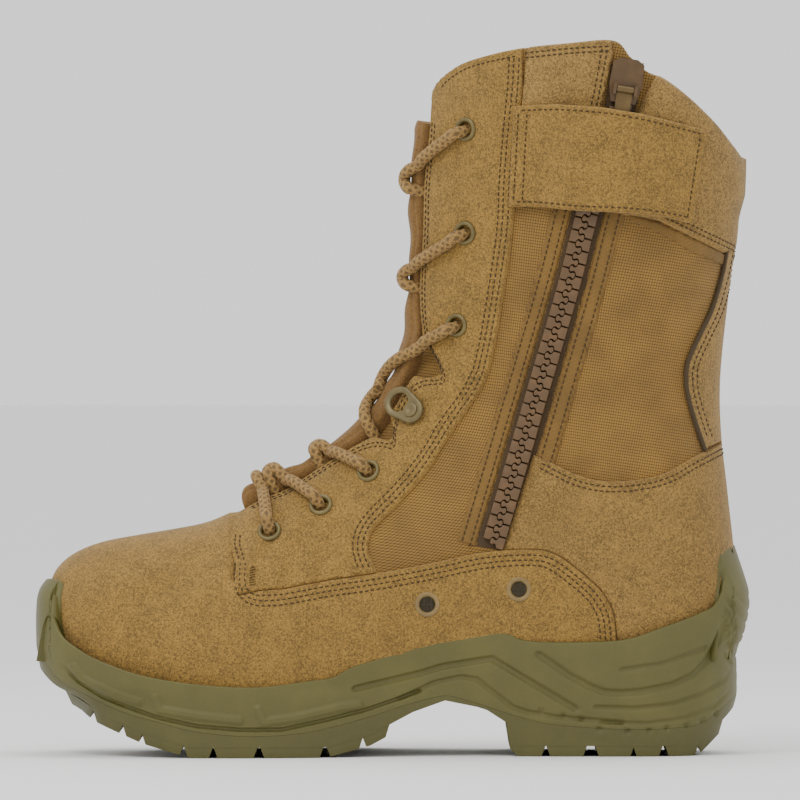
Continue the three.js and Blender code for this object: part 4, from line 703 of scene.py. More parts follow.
def outline_ring(z, inset=0.0):
    """The sole's outline at heights z, one for each place round it from the toe over the inner side."""
    half = AROUND // 2
    k = np.arange(AROUND)
    side = np.where(k < half, -1.0, 1.0)
    u = np.where(k < half, k / half, 2 - k / half)
    plan = curve_rows(PLAN, u)
    along = plan[:, 0]
    levels = curve_rows(SOLE_LEVELS, np.linspace(0, 1, 200))
    heights = place_low(levels[:, 0]) + levels[:, 1] * UPPER_HEIGHT
    order = np.argsort(heights)
    toe, heel, toe_width, heel_width = [np.interp(z, heights[order], levels[order, c])
                                        for c in (2, 3, 4, 5)]
    share = toe_width + (heel_width - toe_width) * along
    wide = np.maximum(np.where(side < 0, plan[:, 1], plan[:, 2]), 0) * share
    ring = np.stack([place_x(toe + (heel - toe) * along),
                     (plan[:, 3] + side * wide) * BALL_WIDTH / 2, z + 0 * wide], 1)
    step = np.roll(ring, -1, axis=0) - np.roll(ring, 1, axis=0)
    normal = directions(np.stack([step[:, 1], -step[:, 0]], 1))
    ring[:, :2] -= normal * np.reshape(inset, (-1, 1))
    return ring


def height_line(table, unit):
    """A function that gives a side-view line's height at any x. unit turns its shares into mm."""
    points = unit(table)
    points = points[np.argsort(points[:, 0], kind="stable")]
    dense = curve_rows(points, np.linspace(0, 1, 600))
    order = np.argsort(dense[:, 0], kind="stable")
    return lambda x: np.interp(x, dense[order, 0], dense[order, 1])


def segment_distance(points, line):
    """How far each side-view point is from a polyline."""
    best = np.full(len(points), 1e9)
    for a, b in zip(line[:-1], line[1:]):
        d = b - a
        t = np.clip(((points - a) @ d) / max(d @ d, 1e-9), 0, 1)
        best = np.minimum(best, np.linalg.norm(points - a - t[:, None] * d, axis=1))
    return best


# Ribs and grooves of the sole's side as [x, low]: (line, half width, depth). Depth is inward.
SIDE_LINES = [
    ([[.026, .98], [.038, .81], [.062, .67], [.097, .53], [.134, .44], [.171, .36], [.23, .28],
      [.289, .25], [.348, .25], [.408, .33], [.467, .42], [.54, .575]], 0.8, 1.3),
    ([[.056, .8], [.068, .69], [.107, .575], [.147, .49]], 1.6, -1.1),
    ([[.171, .53], [.178, .425], [.23, .37], [.288, .33]], 1.6, -1.1),
    ([[.315, .425], [.323, .315], [.368, .354], [.428, .44], [.454, .46]], 1.6, -1.1),
    ([[.45, .6], [.54, .73], [.571, .79], [.64, .86], [.69, .67], [.757, .42]], 1.3, 1.2),
    ([[.512, .51], [.561, .65], [.597, .7], [.619, .68], [.639, .58], [.67, .43], [.69, .39],
      [.729, .345], [.822, .3]], 1.0, 0.9),
    ([[.706, .894], [.749, .708], [.779, .61], [.798, .566], [.822, .558], [.852, .575], [.894, .628],
      [.924, .717], [.945, .858], [.959, 1.04], [.968, 1.18]], 1.4, 1.2),
    ([[.822, .761], [.88, .814], [.938, .943]], 1.0, 0.8),
    ([[.786, .434], [.838, .425], [.894, .46], [.937, .55], [.966, .655], [.986, .814]], 0.9, 0.9),
    ([[.794, .3], [.859, .292], [.91, .336], [.952, .434], [.98, .593]], 0.8, 0.7),
]
SIDE_PITS = [(.765, .33), (.79, .24), (.83, .22), (.86, .23), (.885, .25), (.913, .27), (.935, .31),
             (.74, .36), (.71, .4), (.955, .36)]


def side_relief(x, z):
    """How far the sole's side goes in at points of the side view."""
    points = np.stack([x, z], 1)
    depth = np.zeros(len(points))
    for line, width, deep in SIDE_LINES:
        far = segment_distance(points, lower_line(line))
        flat, soft = (0.6, 0.7) if deep > 0 else (0.5, 1.0)
        depth += deep * (1 - np.clip((far / width - flat) / soft, 0, 1))
    depth *= np.clip((place_x(.978) - x) / 5, 0, 1) * np.clip((x - place_x(.035)) / 5, 0, 1)
    for px, pz in SIDE_PITS:
        far = np.hypot(x - place_x(px), z - place_low(pz))
        depth += 1.2 * np.exp(-(far / 1.1) ** 2)
    edge = place_x(.962) + 0.06 * np.abs(z - 50)
    back = np.clip((x - edge) / 1.5, 0, 1) * np.clip((z - 34) / 5, 0, 1) * np.clip((72 - z) / 8, 0, 1)
    rib = np.abs(((z + 1.2 * (x - place_x(.97))) / 6.4) % 1.0 - 0.5) * 2
    depth += back * 0.45 * np.clip((0.4 - rib) / 0.3, 0, 1)
    return depth


def sole_rings(low_line, high_line, levels):
    """Rings of the sole's side between two height lines, with its grooves and ribs."""
    rings = []
    for v in np.linspace(0, 1, levels):
        z = np.full(AROUND, 30.0)
        for _ in range(4):
            x = outline_ring(z)[:, 0]
            z = low_line(x) + (high_line(x) - low_line(x)) * v
        ring = outline_ring(z)
        rings.append(outline_ring(z, inset=side_relief(ring[:, 0], ring[:, 2])))
    return rings


def build_midsole():
    """The side unit, with its lip round the upper and its floor under it."""
    parting = height_line(PARTING_LINE, lower_line)
    rubber = height_line(RUBBER_LINE, upper_line)
    rings = sole_rings(lambda x: parting(x) + 0.05, rubber, 80)
    first, last = rings[0], rings[-1]
    under = [outline_ring(first[:, 2], inset=i) for i in (3.0, 1.2)]
    lip = []
    for inset, rise in ((0.35, 0.35), (1.0, 0.5), (1.7, 0.2), (2.4, -0.6), (4.0, -4.0)):
        ring = outline_ring(last[:, 2], inset=inset + side_relief(last[:, 0], last[:, 2]))
        ring[:, 2] += rise
        lip.append(ring)
    floor = outline_ring(last[:, 2] - 4.0, inset=9.0)
    floor[:, 2] = np.minimum(last[:, 2] - 4, height_line(DECK, upper_line)(last[:, 0]) - 0.5)
    return dress(ring_mesh("midsole_unit", under + rings + lip + [floor], "rubber_side"),
                 ["midsole"])


def build_outsole():
    """The tread's plate and its lugs, two to a row, beside the middle channel."""
    parting = height_line(PARTING_LINE, lower_line)
    tread_points = lower_line(TREAD_LINE)
    tread = lambda x: np.interp(x, tread_points[:, 0], tread_points[:, 1])
    plate_low = lambda x: np.minimum(tread(x) + TREAD_DEPTH, parting(x) - 1.5)
    rings = sole_rings(plate_low, lambda x: parting(x) - 0.05, 16)
    top = outline_ring(rings[-1][:, 2], inset=2.0)
    plate = ring_mesh("outsole_plate", rings + [top], "rubber_tread")
    points, faces = [], []
    for start, end in LUGS:
        for side in (-1, 1):
            nx, ny = 5, 5
            block = []
            for draft, z_of in ((0.0, tread), (LUG_DRAFT, lambda x: tread(x) + TREAD_DEPTH + 1.0)):
                for x in np.linspace(place_x(start) - draft, place_x(end) + draft, nx):
                    z = float(z_of(x))
                    ring = outline_ring(np.full(AROUND, z))
                    half = ring[:AROUND // 2] if side < 0 else ring[AROUND // 2:][::-1]
                    edge = np.interp(x, half[:, 0], half[:, 1])
                    near = side * TREAD_CHANNEL / 2
                    for y in np.linspace(near, edge - side * 0.15, ny):
                        block.append((x, y, z))
            base = len(points)
            points += block
            at = lambda r, i, j: base + r * nx * ny + i * ny + j
            for r in (0, 1):
                for i in range(nx - 1):
                    for j in range(ny - 1):
                        f = (at(r, i, j), at(r, i, j + 1), at(r, i + 1, j + 1), at(r, i + 1, j))
                        faces.append(f if r == 0 else f[::-1])
            for i in range(nx - 1):
                faces.append((at(0, i, 0), at(0, i + 1, 0), at(1, i + 1, 0), at(1, i, 0)))
                faces.append((at(0, i, ny - 1), at(1, i, ny - 1),
                              at(1, i + 1, ny - 1), at(0, i + 1, ny - 1)))
            for j in range(ny - 1):
                faces.append((at(0, 0, j), at(1, 0, j), at(1, 0, j + 1), at(0, 0, j + 1)))
                faces.append((at(0, nx - 1, j), at(0, nx - 1, j + 1),
                              at(1, nx - 1, j + 1), at(1, nx - 1, j)))
            if side > 0:
                count = 2 * (nx - 1) * (ny - 1) + 2 * (nx - 1) + 2 * (ny - 1)
                faces[-count:] = [f[::-1] for f in faces[-count:]]
    lugs = new_object("outsole_lugs", points, faces, "rubber_tread", smooth_shade=False)
    apply_bevel(lugs, 0.9, 3)
    dress(lugs)
    return dress(plate, ["outsole"])


def apply_modifiers(obj):
    """Put the mesh that its modifiers make in an object."""
    bpy.context.view_layer.update()
    mesh = bpy.data.meshes.new_from_object(obj.evaluated_get(bpy.context.evaluated_depsgraph_get()))
    obj.modifiers.clear()
    old = obj.data
    obj.data = mesh
    bpy.data.meshes.remove(old)
    return obj


def apply_bevel(obj, width, segments, angle=40):
    """Round an object's sharp edges by width mm."""
    bevel = obj.modifiers.new("rounded", "BEVEL")
    bevel.width = width * MM
    bevel.segments = segments
    bevel.limit_method = "ANGLE"
    bevel.angle_limit = math.radians(angle)
    bevel.harden_normals = False
    apply_modifiers(obj)
    obj.data.shade_smooth()
    return obj


def tube(path, radius, around=12, braid=0.0):
    """Points and faces of a closed tube along a path in mm."""
    path = np.asarray(path, float)
    t = directions(np.gradient(path, axis=0))
    side = np.cross(t[0], (0.3, 0.2, 1.0))
    points, faces, raised = [], [], []
    far = far_along(path)
    for i, (p, d) in enumerate(zip(path, t)):
        side = side - d * (side @ d)
        side /= np.linalg.norm(side)
        up = np.cross(d, side)
        for k in range(around):
            turn = 2 * math.pi * k / around
            lobe = max(math.cos(4 * turn + far[i] * 1.75), math.cos(4 * turn - far[i] * 1.75))
            r = radius + braid * (lobe - 0.5)
            raised.append(lobe)
            points.append(p + r * (math.cos(turn) * side + math.sin(turn) * up))
    for i in range(len(path) - 1):
        for k in range(around):
            n = (k + 1) % around
            faces.append((i * around + k, i * around + n, (i + 1) * around + n, (i + 1) * around + k))
    faces.append(tuple(range(around))[::-1])
    last = (len(path) - 1) * around
    faces.append(tuple(last + k for k in range(around)))
    return points, faces, raised


def bundle(name, parts, material, smooth_shade=True, masks=None):
    """One mesh from many bodies, each given as points and faces first."""
    points, faces = [], []
    for p, f, *_ in parts:
        base = len(points)
        points += [tuple(q) for q in p]
        faces += [tuple(k + base for k in face) for face in f]
    return new_object(name, points, faces, material, smooth_shade=smooth_shade, masks=masks)


def stand_frame(u, s, lift, upward=(0, 0, 1)):
    """Right, up and outward directions on the form, and the place, as columns of a 3 x 4 matrix."""
    n = form_normal([u], [s])[0]
    across = np.cross(upward, n)
    across /= np.linalg.norm(across)
    along = np.cross(n, across)
    return np.column_stack([across, along, n, form_point([u], [s])[0] + n * lift])


def lathe(profile, around=28):
    """A turned ring from a closed profile of (radius, height)."""
    points, faces = [], []
    for k in range(around):
        turn = 2 * math.pi * k / around
        points += [(r * math.cos(turn), r * math.sin(turn), h) for r, h in profile]
    n = len(profile)
    for k in range(around):
        k2 = (k + 1) % around
        for i in range(n):
            j = (i + 1) % n
            faces.append((k * n + i, k2 * n + i, k2 * n + j, k * n + j))
    return points, faces


def placed(part, frame_at):
    """A body moved to a frame of stand_frame."""
    points, faces = part[:2]
    points = np.asarray(points, float) @ frame_at[:, :3].T + frame_at[:, 3]
    if np.linalg.det(frame_at[:, :3]) < 0:
        faces = [f[::-1] for f in faces]
    return points, faces


# Materials

def linear(rgb):
    """A scene colour from red, green and blue as a screen shows them, 0 to 255."""
    return [((v / 255 + 0.055) / 1.055) ** 2.4 if v > 10 else v / 255 / 12.92 for v in rgb] + [1.0]


class Wires:
    """Short calls for the nodes of a tree."""

    def __init__(self, tree):
        self.tree = tree

    def node(self, kind, settings=None, **values):
        made = self.tree.nodes.new(kind)
        for key, value in (settings or {}).items():
            setattr(made, key, value)
        for key, value in values.items():
            self.feed(made.inputs[key.replace("_", " ")], value)
        return made

    def feed(self, socket, value):
        if isinstance(value, bpy.types.NodeSocket):
            self.tree.links.new(value, socket)
        else:
            socket.default_value = value

    def math(self, operation, a, b=0.0, clamp=False):
        made = self.tree.nodes.new("ShaderNodeMath")
        made.operation = operation
        made.use_clamp = clamp
        self.feed(made.inputs[0], a)
        self.feed(made.inputs[1], b)
        return made.outputs[0]

    def mix(self, share, a, b, blend="MIX"):
        made = self.tree.nodes.new("ShaderNodeMix")
        made.data_type = "RGBA"
        made.blend_type = blend
        self.feed(made.inputs[0], share)
        self.feed(made.inputs[6], a)
        self.feed(made.inputs[7], b)
        return made.outputs[2]

    def noise(self, vector, scale, detail=3.0, rough=0.55):
        return self.node("ShaderNodeTexNoise", Vector=vector, Scale=scale, Detail=detail,
                         Roughness=rough).outputs["Fac"]

    def ramp(self, value, low, high):
        made = self.node("ShaderNodeMapRange", {"interpolation_type": "SMOOTHSTEP"}, Value=value)
        made.inputs["From Min"].default_value = low
        made.inputs["From Max"].default_value = high
        return made.outputs["Result"]


def group(name, inputs, outputs):
    """A new node group: short calls, its inputs and its outputs."""
    tree = bpy.data.node_groups.new(name, "ShaderNodeTree")
    for label, kind, default in inputs:
        socket = tree.interface.new_socket(name=label, in_out="INPUT", socket_type=kind)
        if default is not None:
            socket.default_value = default
    for label, kind in outputs:
        tree.interface.new_socket(name=label, in_out="OUTPUT", socket_type=kind)
    wires = Wires(tree)
    return wires, tree.nodes.new("NodeGroupInput").outputs, tree.nodes.new("NodeGroupOutput").inputs


def nap_group():
    """Brushed leather: blotches where the nap lies either way, fine fibres and their height."""
    w, given, out = group("nap", [("Vector", "NodeSocketVector", None),
                                  ("Blotch", "NodeSocketFloat", 90.0), ("Fibre", "NodeSocketFloat", 1700.0)],
                          [("Tone", "NodeSocketFloat"), ("Height", "NodeSocketFloat")])
    blotch = w.noise(given["Vector"], given["Blotch"], 4.0, 0.62)
    brushed = w.noise(given["Vector"], w.math("MULTIPLY", given["Blotch"], 5.0), 4.0, 0.65)
    fibre = w.noise(given["Vector"], given["Fibre"], 2.0, 0.6)
    pits = w.noise(given["Vector"], w.math("MULTIPLY", given["Fibre"], 0.55), 3.0, 0.6)
    tone = w.math("ADD", w.math("MULTIPLY", blotch, 0.14), w.math("MULTIPLY", brushed, 0.07))
    tone = w.math("ADD", tone, w.math("ADD", w.math("MULTIPLY", fibre, 0.5), w.math("MULTIPLY", pits, 0.29)))
    w.feed(out["Tone"], w.ramp(tone, 0.4, 0.6))
    height = w.math("ADD", w.math("MULTIPLY", fibre, 0.5), w.math("MULTIPLY", pits, 0.8))
    w.feed(out["Height"], w.math("ADD", height, w.math("MULTIPLY", brushed, 0.7)))
    return "nap"


def weave_group():
    """Plain weave of thick yarns from flat coordinates: height, and a mask of where the yarns dip that
    cloth() uses for painted shade.
    """
    w, given, out = group("weave", [("Vector", "NodeSocketVector", None),
                                    ("Pitch", "NodeSocketFloat", 1100.0)],
                          [("Height", "NodeSocketFloat"), ("Gap", "NodeSocketFloat")])
    cut = w.node("ShaderNodeSeparateXYZ", Vector=given["Vector"]).outputs
    across = w.math("MULTIPLY", cut["X"], given["Pitch"])
    up = w.math("MULTIPLY", cut["Y"], given["Pitch"])
    parity = w.math("MODULO", w.math("ADD", w.math("FLOOR", across), w.math("FLOOR", up)), 2.0)
    parity = w.math("ABSOLUTE", parity)
    arc = [w.math("ABSOLUTE", w.math("SINE", w.math("MULTIPLY", v, math.pi))) for v in (across, up)]
    warp = w.math("MULTIPLY", w.math("POWER", arc[0], 0.6), w.math("POWER", arc[1], 0.35))
    weft = w.math("MULTIPLY", w.math("POWER", arc[1], 0.6), w.math("POWER", arc[0], 0.35))
    height = w.math("ADD", w.math("MULTIPLY", warp, parity),
                    w.math("MULTIPLY", weft, w.math("SUBTRACT", 1.0, parity)))
    w.feed(out["Height"], height)
    # Where the yarns dip: the mask for painted shade between crossings
    w.feed(out["Gap"], w.ramp(height, 0.8, 0.15))
    return "weave"


def grime_group():
    """Dust and handling marks, as one soft mask."""
    w, given, out = group("grime", [("Vector", "NodeSocketVector", None), ("Scale", "NodeSocketFloat", 30.0)],
                          [("Mask", "NodeSocketFloat")])
    wide = w.noise(given["Vector"], given["Scale"], 5.0, 0.6)
    w.feed(out["Mask"], w.ramp(wide, 0.42, 0.7))
    return "grime"


def start_material(name, roughness, metallic=0.0, sheen=0.0):
    """A new material: short calls for its nodes, its shader and the texture places."""
    material = bpy.data.materials.new(name)
    material.use_nodes = True
    wires = Wires(material.node_tree)
    shader = material.node_tree.nodes["Principled BSDF"]
    shader.inputs["Roughness"].default_value = roughness
    shader.inputs["Metallic"].default_value = metallic
    shader.inputs["Sheen Weight"].default_value = sheen
    if sheen:
        shader.inputs["Sheen Roughness"].default_value = 0.5
        shader.inputs["Sheen Tint"].default_value = (1.0, 0.9, 0.75, 1.0)
    where = wires.node("ShaderNodeTexCoord").outputs
    return wires, shader, where


def use_group(wires, name, **values):
    """Place a node group in a material with values of its own."""
    made = wires.tree.nodes.new("ShaderNodeGroup")
    made.node_tree = bpy.data.node_groups[name]
    for key, value in values.items():
        wires.feed(made.inputs[key], value)
    return made.outputs


def bump(wires, shader, height, strength, distance):
    """Feed a height, distance mm high, to the shader's normal."""
    made = wires.node("ShaderNodeBump", Height=height)
    made.inputs["Strength"].default_value = strength
    made.inputs["Distance"].default_value = distance * MM
    wires.feed(shader.inputs["Normal"], made.outputs["Normal"])


def suede(name, colour, light=1.2, dark=0.74, strength=0.8, blotch=90.0):
    """Brushed leather, paler at the cut edges."""
    wires, shader, where = start_material(name, 0.95, sheen=0.08)
    nap = use_group(wires, "nap", Vector=where["Object"], Blotch=blotch)
    deep = linear([c * dark for c in colour])
    pale = linear([min(c * light, 255) for c in colour])
    base = wires.mix(nap["Tone"], deep, pale)
    edge = wires.node("ShaderNodeAttribute", {"attribute_name": "rim"}).outputs["Fac"]
    fray = wires.math("MULTIPLY", wires.ramp(edge, FRAYED_RIM, 0.0), 0.35)
    base = wires.mix(fray, base, linear([min(c * 1.3, 255) for c in colour]))
    wires.feed(shader.inputs["Base Color"], base)
    bump(wires, shader, nap["Height"], strength, 0.35)


def cloth(name, colour, pitch, strength=0.7, sheen=0.1):
    """Plain weave with pitch yarns to the metre, with painted shade where the yarns dip."""
    wires, shader, where = start_material(name, 0.8, sheen=sheen)
    weave = use_group(wires, "weave", Vector=where["UV"], Pitch=pitch)
    blotch = wires.ramp(wires.noise(where["Object"], 60.0, 4.0), 0.3, 0.7)
    yarn = wires.mix(blotch, linear([c * 0.93 for c in colour]),
                     linear([min(c * 1.07, 255) for c in colour]))
    # Painted shade: the colour drops to 45% where the yarns dip between crossings
    wires.feed(shader.inputs["Base Color"],
               wires.mix(weave["Gap"], yarn, linear([c * 0.45 for c in colour])))
    bump(wires, shader, weave["Height"], strength, 0.3)


def rubber(name, colour, roughness=0.55):
    """Moulded rubber with dusty marks."""
    wires, shader, where = start_material(name, roughness)
    fine = wires.noise(where["Object"], 900.0, 3.0)
    mark = use_group(wires, "grime", Vector=where["Object"], Scale=45.0)["Mask"]
    base = wires.mix(fine, linear([c * 0.9 for c in colour]), linear([c * 1.08 for c in colour]))
    base = wires.mix(wires.math("MULTIPLY", mark, 0.25), base, linear([min(c * 1.25, 255) for c in colour]))
    wires.feed(shader.inputs["Base Color"], base)
    wires.feed(shader.inputs["Roughness"], wires.math("ADD", 0.48, wires.math("MULTIPLY", fine, 0.22)))
    bump(wires, shader, fine, 0.25, 0.2)


def hard(name, colour, roughness, metallic):
    """Painted metal or plastic, worn paler in places."""
    wires, shader, where = start_material(name, roughness, metallic)
    fine = wires.noise(where["Object"], 700.0, 4.0)
    worn = use_group(wires, "grime", Vector=where["Object"], Scale=160.0)["Mask"]
    base = wires.mix(wires.math("MULTIPLY", worn, 0.4), linear([c * 0.9 for c in colour]),
                     linear([min(c * 1.2, 255) for c in colour]))
    wires.feed(shader.inputs["Base Color"], base)
    wires.feed(shader.inputs["Roughness"],
               wires.math("ADD", roughness - 0.08, wires.math("MULTIPLY", fine, 0.2)))
    bump(wires, shader, fine, 0.12, 0.1)


def yarn(name, colour, scale, braided=False):
    """Twisted or braided fibre. A braid gets painted shade in its valleys, where raised is low."""
    wires, shader, where = start_material(name, 0.85, sheen=0.1)
    fine = wires.noise(where["Object"], scale, 3.0, 0.7)
    base = wires.mix(wires.ramp(fine, 0.3, 0.7), linear([c * 0.72 for c in colour]),
                     linear([min(c * 1.15, 255) for c in colour]))
    if braided:
        # Painted shade: the braid's valleys, where raised is low, darken to 66%
        raised = wires.node("ShaderNodeAttribute", {"attribute_name": "raised"}).outputs["Fac"]
        base = wires.mix(wires.ramp(raised, -0.3, 0.6), linear([c * 0.66 for c in colour]), base)
    wires.feed(shader.inputs["Base Color"], base)
    bump(wires, shader, fine, 0.5, 0.2)


# Sizes and colours that a user may change

def screen_colour(label, about, rgb):
    """A colour as a screen shows it, given as 0 to 255."""
    return FloatVectorProperty(name=label, description=about, subtype="COLOR_GAMMA", size=3, min=0, max=1,
                               default=[v / 255 for v in rgb])


class BootColours(bpy.types.PropertyGroup):
    """Colours of the finishes, as a screen shows them"""

    suede: screen_colour("Suede", "Coyote suede of the vamp and facings", (131, 101, 46))
    counter: screen_colour("Counter", "Suede round the heel", (130, 101, 50))
    collar: screen_colour("Collar", "Padded suede of the collar", (133, 104, 54))
    tongue: screen_colour("Tongue", "Brown suede of the tongue", (104, 76, 38))
    nylon: screen_colour("Nylon", "Woven nylon", (142, 105, 40))
    rubber: screen_colour("Rubber", "Olive rubber of the sole", (86, 81, 34))
    # Stitching, far darker than the suede: the thread's colour holds painted shade of its needle holes and
    # grooves
    thread: screen_colour("Thread", "Stitching", (60, 43, 18))
    lace: screen_colour("Lace", "Round braided lace", (150, 116, 62))
    metal: screen_colour("Painted metal", "Eyelets", (112, 98, 56))


class BootSizes(bpy.types.PropertyGroup):
    """Sizes that the pieces are made with"""

    lace_width: FloatProperty(name="Lace", description="Lace's diameter", default=5.0 * MM, unit="LENGTH")
    stitch_pitch: FloatProperty(name="Stitch pitch", description="Length of one stitch and its gap",
                                default=2.5 * MM, unit="LENGTH")
    padding: FloatProperty(name="Collar padding", description="How far the collar swells out",
                           default=3.0 * MM, unit="LENGTH")
    weave_pitch: FloatProperty(name="Yarn width", description="Width of one yarn of the nylon",
                               default=1.25 * MM, unit="LENGTH")


def side_line(points, side, spacing=1.2):
    """(u, s) places of a smooth side-view line given in shares."""
    return on_form(smooth(upper_line(points), spacing), side)


def straight_line(points, side, spacing=1.2):
    """(u, s) places of a polyline given in shares."""
    return on_form(resample(upper_line(points), spacing), side)


def sewn(points, side, offsets, spacing=1.5, start=0.0, end=0.0):
    """Stitch lines beside a side-view line, at distances to its left."""
    line = smooth(upper_line(points), spacing)
    far = far_along(line)
    rows = []
    for offset in offsets:
        moved = beside(line, offset)
        keep = (far >= start) & (far <= far[-1] - end)
        rows.append(on_form(moved[keep], side))
    return rows


def round_back(line):
    """The outer side's places of a line, counted on from the inner side round the back."""
    return np.stack([line[:, 0], line[:, 1] - 2], 1)


INNER_THROAT = on_form(smooth(upper_line(THROAT_EDGE), 1.0), -1)


def throat_line(side, top=2.0):
    """The facing's edge at the throat on one side, below a share of the upper's height."""
    height = form_point(*INNER_THROAT.T)[:, 2]
    return (INNER_THROAT * (1, -side))[height < place_up(top)]


def throat_reach(u):
    """How far from the crest the throat's edge lies."""
    order = np.argsort(INNER_THROAT[:, 0])
    return np.interp(u, INNER_THROAT[order, 0], np.abs(INNER_THROAT[order, 1]))


class BOOT_OT_finishes(bpy.types.Operator):
    """Make the materials of the boot"""

    bl_idname = "boot.finishes"
    bl_label = "Finishes"

    def execute(self, context):
        sizes = context.scene.boot_sizes
        chosen = {name: [v * 255 for v in getattr(context.scene.boot_colours, name)]
                  for name in BootColours.__annotations__}
        nap_group()
        weave_group()
        grime_group()
        suede("coyote_suede", chosen["suede"])
        suede("suede_counter", chosen["counter"], blotch=70.0)
        suede("suede_collar", chosen["collar"], blotch=80.0)
        suede("suede_tongue", chosen["tongue"], light=1.2, dark=0.72)
        cloth("woven_nylon", chosen["nylon"], 1 / sizes.weave_pitch)
        cloth("nylon_strip", [c * 0.95 for c in chosen["nylon"]], 2.2 / sizes.weave_pitch, 0.4)
        cloth("woven_tape", (78, 56, 24), 1500.0, 0.5)
        cloth("lining", (70, 56, 34), 700.0, 0.6)
        cloth("footbed", (62, 52, 34), 600.0, 0.5)
        rubber("rubber_side", chosen["rubber"])
        rubber("rubber_tread", [c * 0.93 for c in chosen["rubber"]], 0.6)
        hard("tooth_plastic", (98, 70, 36), 0.42, 0.0)
        hard("slider_plastic", (92, 68, 38), 0.38, 0.2)
        hard("pull_metal", (110, 88, 52), 0.4, 0.5)
        hard("eyelet_paint", chosen["metal"], 0.42, 0.35)
        hard("hook_paint", (110, 96, 58), 0.4, 0.3)
        hard("vent_paint", (138, 114, 68), 0.45, 0.2)
        hard("vent_mesh", (70, 60, 36), 0.5, 0.2)
        # The stitching's colour is darkened as painted shade of the needle holes and grooves
        yarn("thread", chosen["thread"], 2500.0)
        yarn("lace_yarn", chosen["lace"], 1800.0, braided=True)
        return {"FINISHED"}


class BOOT_OT_sole(bpy.types.Operator):
    """Make the side unit, the tread and the footbed"""

    bl_idname = "boot.sole"
    bl_label = "Sole"

    def execute(self, context):
        build_midsole()
        build_outsole()
        footbed = cad_copy("insole", "footbed", "footbed")
        remesh = footbed.modifiers.new("even", "REMESH")
        remesh.mode = "VOXEL"
        remesh.voxel_size = 2.2 * MM
        soft = footbed.modifiers.new("soft", "SMOOTH")
        soft.iterations = 6
        apply_modifiers(footbed)
        footbed.data.shade_smooth()
        dress(footbed, ["insole"])
        return {"FINISHED"}


def cad_copy(node, name, material):
    """A new mesh with a CAD node's shape, to be worked up."""
    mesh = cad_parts[node].data.copy()
    mesh.name = name
    mesh.materials.clear()
    mesh.materials.append(bpy.data.materials[material])
    obj = bpy.data.objects.new(name, mesh)
    bpy.context.scene.collection.objects.link(obj)
    return obj


def collar_line(first, last, side):
    """The collar's top edge between two shares of the length."""
    line = smooth(upper_line(COLLAR_LINE), 1.0)
    x = line[:, 0]
    keep = (x >= place_x(first)) & (x <= place_x(last))
    return on_form(line[keep], side)


class BOOT_OT_shell(bpy.types.Operator):
    """Make the hollow nylon wall, its lining and the facings of the zip"""

    bl_idname = "boot.shell"
    bl_label = "Shell"

    def execute(self, context):
        halves = []
        for side in (-1, 1):
            back = on_form(upper_line([[1.0, 0.81]]), side)[0]
            seam = np.stack([np.linspace(0.004, back[0], 400), np.full(400, float(side))], 1)
            halves.append(np.vstack([seam, collar_line(0.556, 0.985, side)[::-1], throat_line(side, 0.905)]))
        outline = np.vstack([halves[0], halves[1][::-1]])
        obj = panel("upper_shell", outline, LINING, SEAT - LINING, "woven_nylon", cell=2.6, roll=1.0,
                    under="lining")
        dress(obj, ["upper"])
        for name, offsets in (("front", (7.0, 15.5)), ("rear", (-15.0, -7.0))):
            strip = zip_strip(offsets, 0.735, 0.155)
            rows = [zip_line(o, 0.735, 0.155) for o in
                    ((9.2, 13.6) if name == "front" else (-9.2, -13.0))]
            obj = panel("zip_facing_" + name, strip, SEAT - 0.2, 1.1, "nylon_strip", rows=rows, cell=1.6)
            dress(obj)
            stitches("zip_facing_stitches_" + name, rows, pitch=2.6, length=2.0, width=0.5, base=SEAT + 0.9)
        band = np.vstack([straight_line(BINDING_TOP, -1), straight_line(BINDING_LOW, -1)])
        dress(panel("collar_binding", band, SEAT - 0.1, 1.0, "nylon_strip", cell=1.6))
        return {"FINISHED"}


def zip_path():
    """The middle of the zip, from the collar down."""
    return smooth(upper_line(ZIP_LINE), 1.0)


def zip_line(offset, top_up, low_up):
    """A line beside the zip between two heights."""
    line = beside(zip_path(), offset)
    keep = (line[:, 1] <= place_up(top_up)) & (line[:, 1] >= place_up(low_up))
    return on_form(line[keep], -1)


def zip_strip(offsets, top_up, low_up):
    """The outline between two lines beside the zip."""
    return np.vstack([zip_line(offsets[0], top_up, low_up), zip_line(offsets[1], top_up, low_up)[::-1]])


